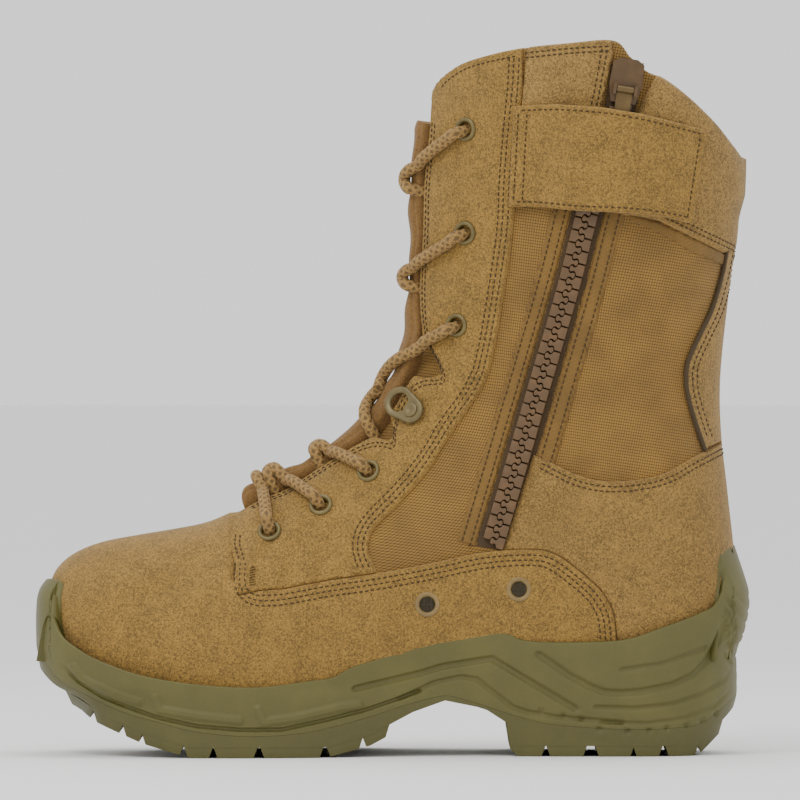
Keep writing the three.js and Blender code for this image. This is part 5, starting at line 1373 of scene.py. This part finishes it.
class BOOT_OT_suede(bpy.types.Operator):
    """Make the suede panels with their sewn rows"""

    bl_idname = "boot.suede"
    bl_label = "Suede panels"

    def execute(self, context):
        self.vamp()
        self.facings()
        self.counter()
        self.back()
        self.collar(context.scene.boot_sizes)
        return {"FINISHED"}

    def vamp(self):
        halves = []
        wing_rows = {}
        for side in (-1, 1):
            wing = side_line(WING_EDGE, side)
            front = side_line([[x + 0.005, up] for x, up in EYESTAY_FRONT[::-1]], side)
            low = on_form(np.array([[place_x(.815), place_up(-.035)]]), side)[0]
            base_u = np.linspace(0.004, 0.545, 300)
            seam = np.stack([base_u, np.full(300, float(side))], 1)
            tip = np.array([[throat_line(1)[:, 0].min() + 0.02, side * 0.03]])
            halves.append(np.vstack([seam, [low], wing[:0:-1], front[2:], tip]))
            wing_rows[side] = sewn(WING_ROWS, side, (-2.4, -4.6, -6.8))
        outline = np.vstack([halves[0], halves[1][::-1]])
        rows = wing_rows[-1] + wing_rows[1]

        def wing_rise(u, s, p, inset):
            wing = np.clip((p[:, 0] - place_x(.272)) / 3, 0, 1)
            tucked = np.clip((p[:, 2] - place_up(.1)) / 2, 0, 1) * (p[:, 0] < place_x(.3))
            return wing * (0.8 - 2.2 * tucked)

        holes = [ring_places(*on_form(upper_line([place]), -1)[0], 3.6) for place in VENTS]
        obj = panel("vamp", outline, SEAT - 0.1, 2.0, "coyote_suede", rows=rows, swell=wing_rise, cell=2.0,
                    holes=holes)
        dress(obj)

        def on_facing(p):
            return (p[:, 2] > place_up(.095)) & (p[:, 0] < place_x(.31))

        stitches("vamp_stitches", rows, base=lambda p: np.where(on_facing(p), -0.1, 0.65))

    def facings(self):
        for name, side in (("inner", -1), ("outer", 1)):
            throat = throat_line(side, 0.905)
            top = collar_line(.556, .684, side)
            front = side_line([*EYESTAY_FRONT, WING_EDGE[0]], side)
            low = side_line(WING_EDGE[:5], side)
            rear = side_line(EYESTAY_REAR[1:], side)
            outline = np.vstack([top[::-1], throat, front[1:], low[1:], rear[::-1]])
            rear_rows = sewn(EYESTAY_REAR, side, (-2.2, -4.4, -6.4), start=8, end=4)
            front_rows = sewn(EYESTAY_FRONT, side, (2.2, 4.2), start=3, end=6)
            throat_rows = [self.along_throat(throat, side, d) for d in (2.3, 4.4)]
            collar_rows = sewn(COLLAR_LINE[2:7], side, (-3.0,), start=3, end=2)
            rows = rear_rows + front_rows + throat_rows + collar_rows
            holes = [ring_places(u, s, 3.9) for u, s in eyelet_places(side)]
            obj = panel("facing_" + name, outline, SEAT, 1.9, "coyote_suede", rows=rows, holes=holes)
            dress(obj, ["eyestay_" + name])
            stitches("facing_stitches_" + name, rows, base=-0.1)
            tack = straight_line([[.305, .128], [.306, .094]], side, 0.5)
            stitches("bar_tack_" + name, [tack], pitch=1.15, length=0.9, width=0.7, base=0.05, tilt=3.6)

    def along_throat(self, line, side, distance):
        """A sewn row beside the throat's edge, cutting across its notches."""
        keep = np.array([[u, abs(s)] for u, s in line])
        smoothed = keep.copy()
        for _ in range(60):
            smoothed[1:-1] = (smoothed[:-2] + smoothed[1:-1] * 2 + smoothed[2:]) / 4
            smoothed[:, 1] = np.maximum(smoothed[:, 1], keep[:, 1])
        p = form_point(smoothed[:, 0], side * smoothed[:, 1])
        q = form_point(smoothed[:, 0], side * (smoothed[:, 1] + 0.01))
        step = np.linalg.norm(q - p, axis=1)
        a = smoothed[:, 1] + 0.01 * distance / np.maximum(step, 0.1)
        return np.stack([smoothed[:, 0], side * a], 1)[8:-6]

    def counter(self):
        low = [[.815, -.02], [.87, -.008], [.92, .01], [.955, .03], [.99, .07]]
        tops = {side: side_line(COUNTER_TOP, side) for side in (-1, 1)}
        lows = {side: straight_line(low, side) for side in (-1, 1)}
        fronts = {side: side_line([*WING_EDGE[7:-1], [.8155, -.0]], side) for side in (-1, 1)}
        inner = np.vstack([lows[-1][::-1], fronts[-1][::-1], tops[-1]])
        outer = np.vstack([lows[1][::-1], fronts[1][::-1], tops[1]])
        outline = np.vstack([inner, round_back(outer)[::-1]])
        rows = []
        for side in (-1, 1):
            made = sewn(COUNTER_TOP, side, (-2.2, -4.3), start=3, end=16)
            rows += made if side < 0 else [round_back(r) for r in made]
        obj = panel("counter", outline, SEAT, 1.9, "suede_counter", rows=rows)
        dress(obj, ["heel_counter"])
        stitches("counter_stitches", rows, base=-0.1)

    def back(self):
        edges = {side: side_line(BACK_STRIP_EDGE, side) for side in (-1, 1)}
        ends = {side: straight_line([[.941, .322], [.975, .34], [1.0, .345]], side) for side in (-1, 1)}
        top = {side: straight_line([[1.02, .72], [.99, .72]], side) for side in (-1, 1)}
        inner = np.vstack([top[-1], edges[-1], ends[-1]])
        outer = np.vstack([top[1], edges[1], ends[1]])
        outline = np.vstack([inner, round_back(outer)[::-1]])
        rows = sewn(BACK_STRIP_EDGE, -1, (2.4, 4.4), start=12, end=4)
        rows += [round_back(r) for r in sewn(BACK_STRIP_EDGE, 1, (2.4, 4.4), start=12, end=4)]
        obj = panel("back_strip_suede", outline, SEAT, 1.9, "suede_collar", rows=rows)
        dress(obj, ["back_strip"])
        stitches("back_strip_stitches", rows, base=-0.1)
        pipes = []
        for side in (-1, 1):
            line = edges[side]
            pipes.append(tube(skin(line[:, 0], line[:, 1], -0.7), 1.0, 8))
        dress(bundle("back_piping", pipes, "nylon_strip"))

    def collar(self, sizes):
        padding = sizes.padding / MM
        front_in = side_line([[.866, .935], *CUFF_FRONT_EDGE[1:]], -1)
        front_out = side_line([[.69, .985], *CUFF_FRONT_EDGE_OUTER[1:], [.677, .716]], 1)
        low_in = side_line(CUFF_LOW[1:], -1)
        low_out = on_form(np.vstack([resample(upper_line([[.679, .714], CUFF_LOW[0]]), 1.2),
                                     smooth(upper_line(CUFF_LOW), 1.2)]), 1)
        top_in, top_out = collar_line(.872, .99, -1), collar_line(.694, .99, 1)
        inner = np.vstack([top_in[::-1], front_in, low_in])
        outer = np.vstack([top_out[::-1], front_out, low_out])
        outline = np.vstack([inner, round_back(outer)[::-1]])

        def swell(u, s, p, inset):
            part = np.clip(inset / 12, 0, 1)
            bulge = np.clip((p[:, 2] - 226) / 14, 0.3, 1)
            return padding * bulge * np.sqrt(np.maximum(1 - (1 - part) ** 2, 0))

        rows = sewn(CUFF_LOW[1:], -1, (2.2, 4.2), start=1, end=10)
        rows += [round_back(r) for r in sewn(CUFF_LOW, 1, (2.2, 4.2), start=1, end=10)]
        obj = panel("collar_padding", outline, SEAT, 1.9, "suede_collar", rows=rows, swell=swell, roll=2.4,
                    groove=0.6)
        dress(obj, ["collar_cuff"])
        stitches("collar_stitches", rows, base=0.3)
        front = np.vstack([side_line([[.6875, .986], *EYESTAY_REAR[1:4]], -1),
                           side_line([[.809, .98], *COLLAR_FRONT_REAR_EDGE[1:]], -1)[::-1],
                           collar_line(.689, .806, -1)[::-1]])
        rows = sewn(COLLAR_LINE[6:9], -1, (-2.4, -4.4), start=1, end=2)
        rows += sewn(COLLAR_FRONT_REAR_EDGE, -1, (-2.4, -4.6), start=5, end=14)
        obj = panel("collar_front_suede", front, SEAT, 1.9, "suede_collar", rows=rows)
        dress(obj, ["collar_front"])
        stitches("collar_front_stitches", rows, base=-0.1)


def flap_rest(p):
    """How high over the form the flap lies at points of it."""
    x = p[:, 0] / BOOT_LENGTH + 0.5
    table = np.array(FLAP_REST)
    at = np.interp(x, table[:, 0], np.arange(len(table)))
    smooth_rows = curve_rows(table, at / (len(table) - 1))
    return np.maximum(smooth_rows[:, 1], 0.3)


class BOOT_OT_flap(bpy.types.Operator):
    """Make the strap over the top of the zip"""

    bl_idname = "boot.flap"
    bl_label = "Flap"

    def execute(self, context):
        outline = straight_line(FLAP_OUTLINE + FLAP_OUTLINE[:1], -1, 0.9)[:-1]
        top, right = FLAP_OUTLINE[:6], FLAP_OUTLINE[5:7]
        low, left = FLAP_OUTLINE[6:], [FLAP_OUTLINE[-1], FLAP_OUTLINE[0]]
        rows = sewn(top, -1, (-2.2,), start=3, end=3) + sewn(low, -1, (-2.2,), start=3, end=3)
        rows += [on_form(beside(resample(upper_line(right), 1.5), -3.0)[2:-2], -1)]
        rows += [on_form(beside(resample(upper_line(left), 1.5), -o)[2:-2], -1) for o in (2.4, 6.0)]
        obj = panel("zip_flap_suede", outline, flap_rest, 1.8, "coyote_suede", rows=rows, cell=1.6,
                    roll=0.8)
        dress(obj, ["zip_flap"])
        stitches("flap_stitches", rows, base=lambda p: flap_rest(p) + 1.7)
        return {"FINISHED"}


def eyelet_places(side):
    """(u, s) of the eyelets of one side, from the toe up."""
    places = on_form(upper_line(EYELETS), -1)
    return [(u, s * -side) for u, s in places]


def ring_places(u, s, radius, around=24):
    """(u, s) places on a circle of the skin about a place."""
    step = 1e-3
    at = form_point([u], [s])[0]
    du = (form_point([u + step], [s])[0] - at) / step
    ds = (form_point([u], [s + step])[0] - at) / step
    basis = np.stack([du, ds], 1)
    inverse = np.linalg.pinv(basis)
    n = form_normal([u], [s])[0]
    across = np.cross((0, 0, 1), n)
    across /= np.linalg.norm(across)
    along = np.cross(n, across)
    out = []
    for k in range(around):
        turn = 2 * math.pi * k / around
        q = radius * (math.cos(turn) * across + math.sin(turn) * along)
        out.append(np.array([u, s]) + inverse @ q)
    return np.array(out)


class BOOT_OT_metal(bpy.types.Operator):
    """Make the eyelets, speed hooks and drain vents"""

    bl_idname = "boot.metal"
    bl_label = "Eyelets, hooks and vents"

    def execute(self, context):
        rolled = [(3.15, -4.4), (3.2, 0.4), (3.6, 0.95), (4.3, 1.1), (4.95, 0.8), (5.2, 0.3), (5.15, 0.0),
                  (4.1, 0.0), (3.95, -4.4)]
        for name, side in (("inner", -1), ("outer", 1)):
            for i, (u, s) in enumerate(eyelet_places(side)):
                lift = dents(form_point([u], [s]))[0]
                part = placed(lathe(rolled), stand_frame(u, s, lift))
                obj = bundle(f"eyelet_ring_{name}_{i + 1}", [part], "eyelet_paint")
                dress(obj, [f"eyelet_{name}_{i + 1}"])
            self.hook(name, side)
        for name, place in zip(("front", "rear"), VENTS):
            u, s = on_form(upper_line([place]), -1)[0]
            at = stand_frame(u, s, 0.35 + dents(form_point([u], [s]))[0])
            ring = lathe([(3.3, -1.2), (3.35, 0.1), (3.9, 0.65), (4.8, 0.8), (5.3, 0.55), (5.4, 0.0),
                          (5.4, -1.2)], 36)
            obj = bundle("vent_ring_" + name, [placed(ring, at)], "vent_paint")
            dress(obj, ["drain_vent_" + name])
            wires = [placed(lathe([(0.01, -1.0), (3.4, -1.0), (3.4, -0.6), (0.01, -0.6)], 24), at)]
            for k in range(-5, 6):
                y = k * 0.6
                reach = math.sqrt(3.35 ** 2 - y * y)
                for turned in (False, True):
                    ends = [(-reach, y, -0.3), (reach, y, -0.3)]
                    path = [(q[1], q[0], q[2] + 0.1) if turned else q for q in ends]
                    middle = np.mean(path, axis=0) * (y != 0)
                    wires.append(placed(tube([path[0], middle, path[1]], 0.15, 6), at))
            dress(bundle("vent_mesh_" + name, wires, "vent_mesh"))
        return {"FINISHED"}

    def hook(self, name, side):
        """A speed hook: a pressed loop on a rivet."""
        u, s = on_form(upper_line([[0.531, 0.384]]), -1)[0]
        at = stand_frame(u, s * -side, HOOK_STAND + dents(form_point([u], [s]))[0], (-0.83, 0, 0.56))
        outer, inner = [], []
        wide, rear, reach, hole = 7.0, 5.6, 7.4, 3.9
        count = 40
        for k in range(count):
            turn = 2 * math.pi * k / count
            up = math.sin(turn)
            r = wide if up >= 0 else rear
            outer.append((r * math.cos(turn), r * up + (reach if up >= 0 else 0)))
            inner.append((hole * math.cos(turn), hole * math.sin(turn) + reach))
        points, faces = [], []
        layers = [(1.5, 0.35, outer), (1.5, 0.0, outer), (1.9, -0.1, outer), (2.6, 0.0, outer),
                  (2.95, 0.45, outer), (3.0, 1.2, outer), (2.75, -0.9, inner), (2.5, -0.35, inner),
                  (1.7, -0.2, inner), (1.5, -0.4, inner)]
        for z, inset, ring in layers:
            centre = np.array([0, reach * 0.5]) if ring is outer else np.array([0, reach])
            for q in ring:
                d = np.array(q) - centre
                points.append((*(centre + d * (1 - inset / np.linalg.norm(d))), z))
        for r in range(len(layers)):
            r2 = (r + 1) % len(layers)
            for k in range(count):
                k2 = (k + 1) % count
                faces.append((r * count + k, r * count + k2, r2 * count + k2, r2 * count + k))
        rivet = lathe([(0.01, 0.2), (2.6, 0.2), (2.6, 1.4), (3.2, 3.0), (3.1, 3.5), (2.2, 3.8), (1.2, 3.5),
                       (0.01, 3.4)])
        obj = bundle("hook_" + name, [placed((points, faces), at), placed(rivet, at)], "hook_paint")
        dress(obj, ["speed_hook_" + name])


def tongue_row(u, front, top):
    """The tongue's half width and swell at places u."""
    return curve_rows(TONGUE_PROFILE, (np.asarray(u, float) - front) / (top - front)).T


def tongue_ends():
    """u of the tongue's front and of its top."""
    front = throat_line(1)[:, 0].min() + 0.006
    top = on_form(upper_line([[0.553, 0.862]]), -1)[0][0]
    return front, top


def tongue_height(u, share):
    """How high the tongue's padding stands over the form at a share (-1 to 1) of its width."""
    front, top = tongue_ends()
    half, swell = tongue_row(u, front, top)
    nose = np.clip((u - front) / 0.014, 0, 1)
    crown = np.sqrt(np.maximum(1 - np.abs(share) ** 4, 0)) * np.sqrt(np.maximum(1 - (1 - nose) ** 2, 0))
    return SEAT + (swell * TONGUE_SWELL - SEAT) * crown


class BOOT_OT_tongue(bpy.types.Operator):
    """Make the padded tongue and its gussets"""

    bl_idname = "boot.tongue"
    bl_label = "Tongue"

    def execute(self, context):
        front, top = tongue_ends()
        rows, columns = 190, 40
        grid_u = front + (top - front) * np.linspace(0, 1, rows) ** 1.25
        share = np.sin(np.linspace(-1, 1, columns + 1) * math.pi / 2)
        u, h = [g.ravel() for g in np.meshgrid(grid_u, share, indexing="ij")]
        half = tongue_row(u, front, top)[0]
        height = tongue_height(u, h)
        p = form_point(u, half * h)
        fold = 0.5 * np.sin(p[:, 2] / 3.4 + 2.2 * np.sin(p[:, 0] / 6.0)) * (1 - h ** 2)
        fold += 0.5 * np.sin(p[:, 2] / 7.1 + p[:, 1] / 5)
        seam = -0.9 * np.exp(-((np.abs(h) - 0.72) / 0.07) ** 2)
        ends = np.clip((top - u) / 0.01, 0, 1)
        upper_skin = skin(u, half * h, height * (0.6 + 0.4 * ends) + (fold + seam) * ends)
        lower_skin = skin(u, half * h, np.full(len(u), LINING - 2.4))
        across = columns + 1
        n = rows * across
        at = lambda r, c: r * across + c
        faces = []
        for r in range(rows - 1):
            for c in range(columns):
                quad = (at(r, c), at(r + 1, c), at(r + 1, c + 1), at(r, c + 1))
                faces += [quad, tuple(k + n for k in quad[::-1])]
            for c in (0, columns):
                side = (at(r, c), at(r + 1, c), at(r + 1, c) + n, at(r, c) + n)
                faces.append(side if c else side[::-1])
        for r in (0, rows - 1):
            for c in range(columns):
                end = (at(r, c), at(r, c + 1), at(r, c + 1) + n, at(r, c) + n)
                faces.append(end if r == 0 else end[::-1])
        pad = new_object("tongue_padding", np.vstack([upper_skin, lower_skin]), faces, "suede_tongue")
        dress(pad, ["tongue"])
        gusset_u = np.linspace(front - 0.03, top - 0.004, 80)
        reach = throat_reach(gusset_u) + 0.05
        left = np.stack([gusset_u, -reach], 1)
        right = np.stack([gusset_u, reach], 1)
        outline = resample(np.vstack([left, right[::-1]]) * DOMAIN, 1.5) / DOMAIN
        dress(panel("tongue_gusset", outline, LINING - 2.9, 1.0, "woven_nylon", cell=2.4))
        return {"FINISHED"}


TOOTH = [[-4.75, 2.3], [-4.6, 2.45], [-1.95, 2.45], [-1.7, 2.2], [-1.3, 1.2], [-0.8, 0.85], [-0.2, 0.8],
         [0.2, 1.15], [0.7, 1.35], [1.2, 1.1], [1.5, 0.5]]


class BOOT_OT_zip(bpy.types.Operator):
    """Make the zip's tape, teeth, slider and pull"""

    bl_idname = "boot.zip"
    bl_label = "Zip"

    def execute(self, context):
        strip = np.vstack([zip_line(7.3, 0.965, 0.156), zip_line(-7.3, 0.965, 0.156)[::-1]])
        dress(panel("zip_tape_cloth", strip, SEAT - 0.6, 0.75, "woven_tape", cell=1.8, roll=0.3),
              ["zip_tape"])
        path = zip_path()
        far = far_along(path)
        slider = upper_line([[0.827, 0.935]])[0]
        start = np.linalg.norm(slider - path[0]) + 11.5
        bodies = []
        at = start
        step = 0
        while at < far[-1] - 3:
            side = 1 if step % 2 else -1
            centre = np.array([np.interp(at, far, path[:, i]) for i in (0, 1)])
            ahead = np.array([np.interp(at + 0.5, far, path[:, i]) for i in (0, 1)])
            u, s = on_form([centre], -1)[0]
            way = ahead - centre
            frame_at = stand_frame(u, s, -1.6, (-way[0], 0, -way[1]))
            bodies.append(placed(self.tooth(side), frame_at))
            at += TOOTH_PITCH / 2
            step += 1
        teeth = bundle("zip_chain", bodies, "tooth_plastic", smooth_shade=False)
        apply_bevel(teeth, 0.25, 2, angle=50)
        dress(teeth, ["zip_teeth"])
        for node, name, material, slot, body in (
                ("zip_slider", "zip_slider_body", "slider_plastic", "zip_slider", "boot"),
                ("zip_pull", "zip_pull_tab", "pull_metal", "zip_pull", "pull")):
            piece = cad_copy(node, name, material)
            apply_bevel(piece, 0.35, 3, angle=30)
            dress(piece, [node], body)
        return {"FINISHED"}

    def tooth(self, side):
        """One tooth with its head towards the other side's teeth."""
        outline = [(side * x, y) for x, y in TOOTH] + [(side * x, -y) for x, y in TOOTH[::-1]]
        n = len(outline)
        points = [(x, y, z) for z in (0.2, 2.2) for x, y in outline]
        faces = [(k, (k + 1) % n, n + (k + 1) % n, n + k) for k in range(n)]
        return points, faces + [tuple(range(n))[::-1], tuple(n + k for k in range(n))]


class BOOT_OT_laces(bpy.types.Operator):
    """Run the lace through the eyelets and hooks"""

    bl_idname = "boot.laces"
    bl_label = "Laces"

    def execute(self, context):
        radius = context.scene.boot_sizes.lace_width / MM / 2
        hook = np.abs(on_form(upper_line([[0.495, 0.413]]), -1)[0])
        eyelets = [np.abs(place) for place in eyelet_places(-1)]
        rows = eyelets[:3] + [hook] + eyelets[3:]
        parts = [self.bar(rows[0], radius)]
        for k in range(1, len(rows)):
            for side in (-1, 1):
                parts.append(self.strand(rows[k], rows[k - 1], side, radius, k == 3, k == 4))
        nodes = ["lace_bar"] + [f"lace_cross_{k}" for k in range(1, 7)]
        # How raised each point of the braid is, used for painted shade in its valleys
        raised = np.concatenate([part[2] for part in parts])
        dress(bundle("lace", parts, "lace_yarn", masks={"raised": raised}), nodes)
        return {"FINISHED"}

    def bar(self, row, radius):
        """The lace's middle, from one front eyelet over the tongue to the other."""
        s = np.linspace(-row[1], row[1], 120)
        return self.along(np.full(120, row[0]), s, radius, False, False, both_over=True)

    def strand(self, high, low, side, radius, from_hook, to_hook):
        """From the eyelet at high on one side, over the facing and the tongue, then under the other
        facing to the eyelet at low."""
        s = np.linspace(side * high[1], -side * low[1], 140)
        ends = form_point([high[0], low[0]], [side * high[1], -side * low[1]])
        run = ends[1] - ends[0]
        run[1] = 0
        run /= np.linalg.norm(run)
        middle = form_point(np.full(140, (high[0] + low[0]) / 2), s)
        far = far_along(middle)
        target = ends[0] @ run + (ends[1] - ends[0]) @ run * far / far[-1]
        least, most = np.full(140, low[0] - 0.06), np.full(140, min(high[0] + 0.06, 1.0))
        for _ in range(22):
            u = (least + most) / 2
            beyond = form_point(u, s) @ run > target
            least = np.where(beyond, u, least)
            most = np.where(beyond, most, u)
        return self.along(u, s, radius, from_hook, to_hook)

    def along(self, u, s, radius, from_hook, to_hook, both_over=False):
        """A tube over the places (u, s): up through the first eyelet and down under the last facing."""
        front, top = tongue_ends()
        reach = throat_reach(u)
        half = tongue_row(u, front, top)[0]
        pad = tongue_height(u, np.clip(np.abs(s) / half, 0, 1))
        open_part = np.clip((reach - np.abs(s)) / 0.02, 0, 1)
        level = (pad + 0.2) * open_part + 0.35 * (1 - open_part) + radius
        count = len(s)
        kernel = np.hanning(15)
        level = np.convolve(np.pad(level, 7, mode="edge"), kernel / kernel.sum(), mode="valid")
        base = form_point(u, s)
        far = far_along(base)
        left = far[-1] - far
        leave = lambda d: np.clip((d - 0.4) / 3.2, 0, 1) ** 0.6
        if not from_hook:
            level = -5.0 + (level + 0.9 * np.exp(-((far - 4.6) / 2.0) ** 2) + 5.0) * leave(far)
        if both_over:
            level = -5.0 + (level + 0.9 * np.exp(-((left - 4.6) / 2.0) ** 2) + 5.0) * leave(left)
        elif not to_hook:
            last = np.argmax((np.arange(count) > count / 2) & (np.abs(s) > reach - 0.012))
            under = np.clip((far - far[last] + 5.0) / 6.0, 0, 1)
            under = under * under * (3 - 2 * under)
            level = level * (1 - under) + (LINING - radius - 0.3) * under
        path = resample(skin(u, s, level), 0.3)
        return tube(path, radius, LACE_SIDES, braid=LACE_BRAID)


class BOOT_OT_stage(bpy.types.Operator):
    """Set the floor, the lights and the camera"""

    bl_idname = "boot.stage"
    bl_label = "Stage"

    def execute(self, context):
        scene = context.scene
        material = bpy.data.materials.new("floor")
        material.use_nodes = True
        shader = material.node_tree.nodes["Principled BSDF"]
        shader.inputs["Base Color"].default_value = (0.9, 0.9, 0.9, 1)
        shader.inputs["Roughness"].default_value = 0.9
        corners = [(-FLOOR, -FLOOR, 0), (FLOOR, -FLOOR, 0), (FLOOR, FLOOR, 0), (-FLOOR, FLOOR, 0)]
        new_object("floor", corners, [(0, 1, 2, 3)], "floor")
        world = bpy.data.worlds.new("studio")
        world.use_nodes = True
        world.node_tree.nodes["Background"].inputs[0].default_value = (1, 1, 1, 1)
        world.node_tree.nodes["Background"].inputs[1].default_value = ROOM_LIGHT
        scene.world = world
        target = Vector((0, 0, 130)) * MM
        for name, place, size, power in LAMPS:
            light = bpy.data.lights.new(name, "AREA")
            light.size = size * MM
            light.energy = power
            lamp = bpy.data.objects.new(name, light)
            lamp.location = Vector(place) * MM
            lamp.rotation_euler = (target - lamp.location).to_track_quat("-Z", "Y").to_euler()
            scene.collection.objects.link(lamp)
        camera = bpy.data.cameras.new("camera")
        camera.sensor_width = 36
        view = bpy.data.objects.new("camera", camera)
        camera.lens = camera.sensor_width * CAMERA_DISTANCE / (PHOTO_SIDE * PIXEL)
        centre = PHOTO_SIDE / 2
        aim = Vector(((centre - PHOTO_MIDDLE) * PIXEL, 0, (PHOTO_GROUND - centre) * PIXEL))
        rise = CAMERA_DISTANCE * math.sin(math.radians(CAMERA_RISE))
        view.location = (aim + Vector((0, -CAMERA_DISTANCE, rise))) * MM
        view.rotation_euler = (aim * MM - view.location).to_track_quat("-Z", "Y").to_euler()
        scene.collection.objects.link(view)
        scene.camera = view
        return {"FINISHED"}


class BOOT_PT_panel(bpy.types.Panel):
    """Lists the boot's pieces and sizes"""

    bl_idname = "BOOT_PT_panel"
    bl_label = "Combat boot"
    bl_space_type = "VIEW_3D"
    bl_region_type = "UI"
    bl_category = "Boot"

    def draw(self, context):
        for name in BootSizes.__annotations__:
            self.layout.prop(context.scene.boot_sizes, name)
        for name in BootColours.__annotations__:
            self.layout.prop(context.scene.boot_colours, name)
        for operator in OPERATORS:
            self.layout.operator(operator.bl_idname)


OPERATORS = (BOOT_OT_finishes, BOOT_OT_stage, BOOT_OT_sole, BOOT_OT_shell, BOOT_OT_suede, BOOT_OT_flap,
             BOOT_OT_tongue, BOOT_OT_zip, BOOT_OT_metal, BOOT_OT_laces)
CLASSES = (BootColours, BootSizes, *OPERATORS, BOOT_PT_panel)


def register():
    """Add the classes and the boot's settings to Blender."""
    for cls in CLASSES:
        bpy.utils.register_class(cls)
    bpy.types.Scene.boot_colours = PointerProperty(type=BootColours)
    bpy.types.Scene.boot_sizes = PointerProperty(type=BootSizes)


def unregister():
    """Take them out again."""
    del bpy.types.Scene.boot_sizes
    del bpy.types.Scene.boot_colours
    for cls in reversed(CLASSES):
        bpy.utils.unregister_class(cls)


def main():
    """Make the whole boot."""
    register()
    for operator in OPERATORS:
        group_name, call = operator.bl_idname.split(".")
        result = getattr(getattr(bpy.ops, group_name), call)()
        if result != {"FINISHED"}:
            raise RuntimeError(f"{operator.bl_idname} did not finish")
    bpy.context.view_layer.update()


if __name__ == "__main__":
    main()
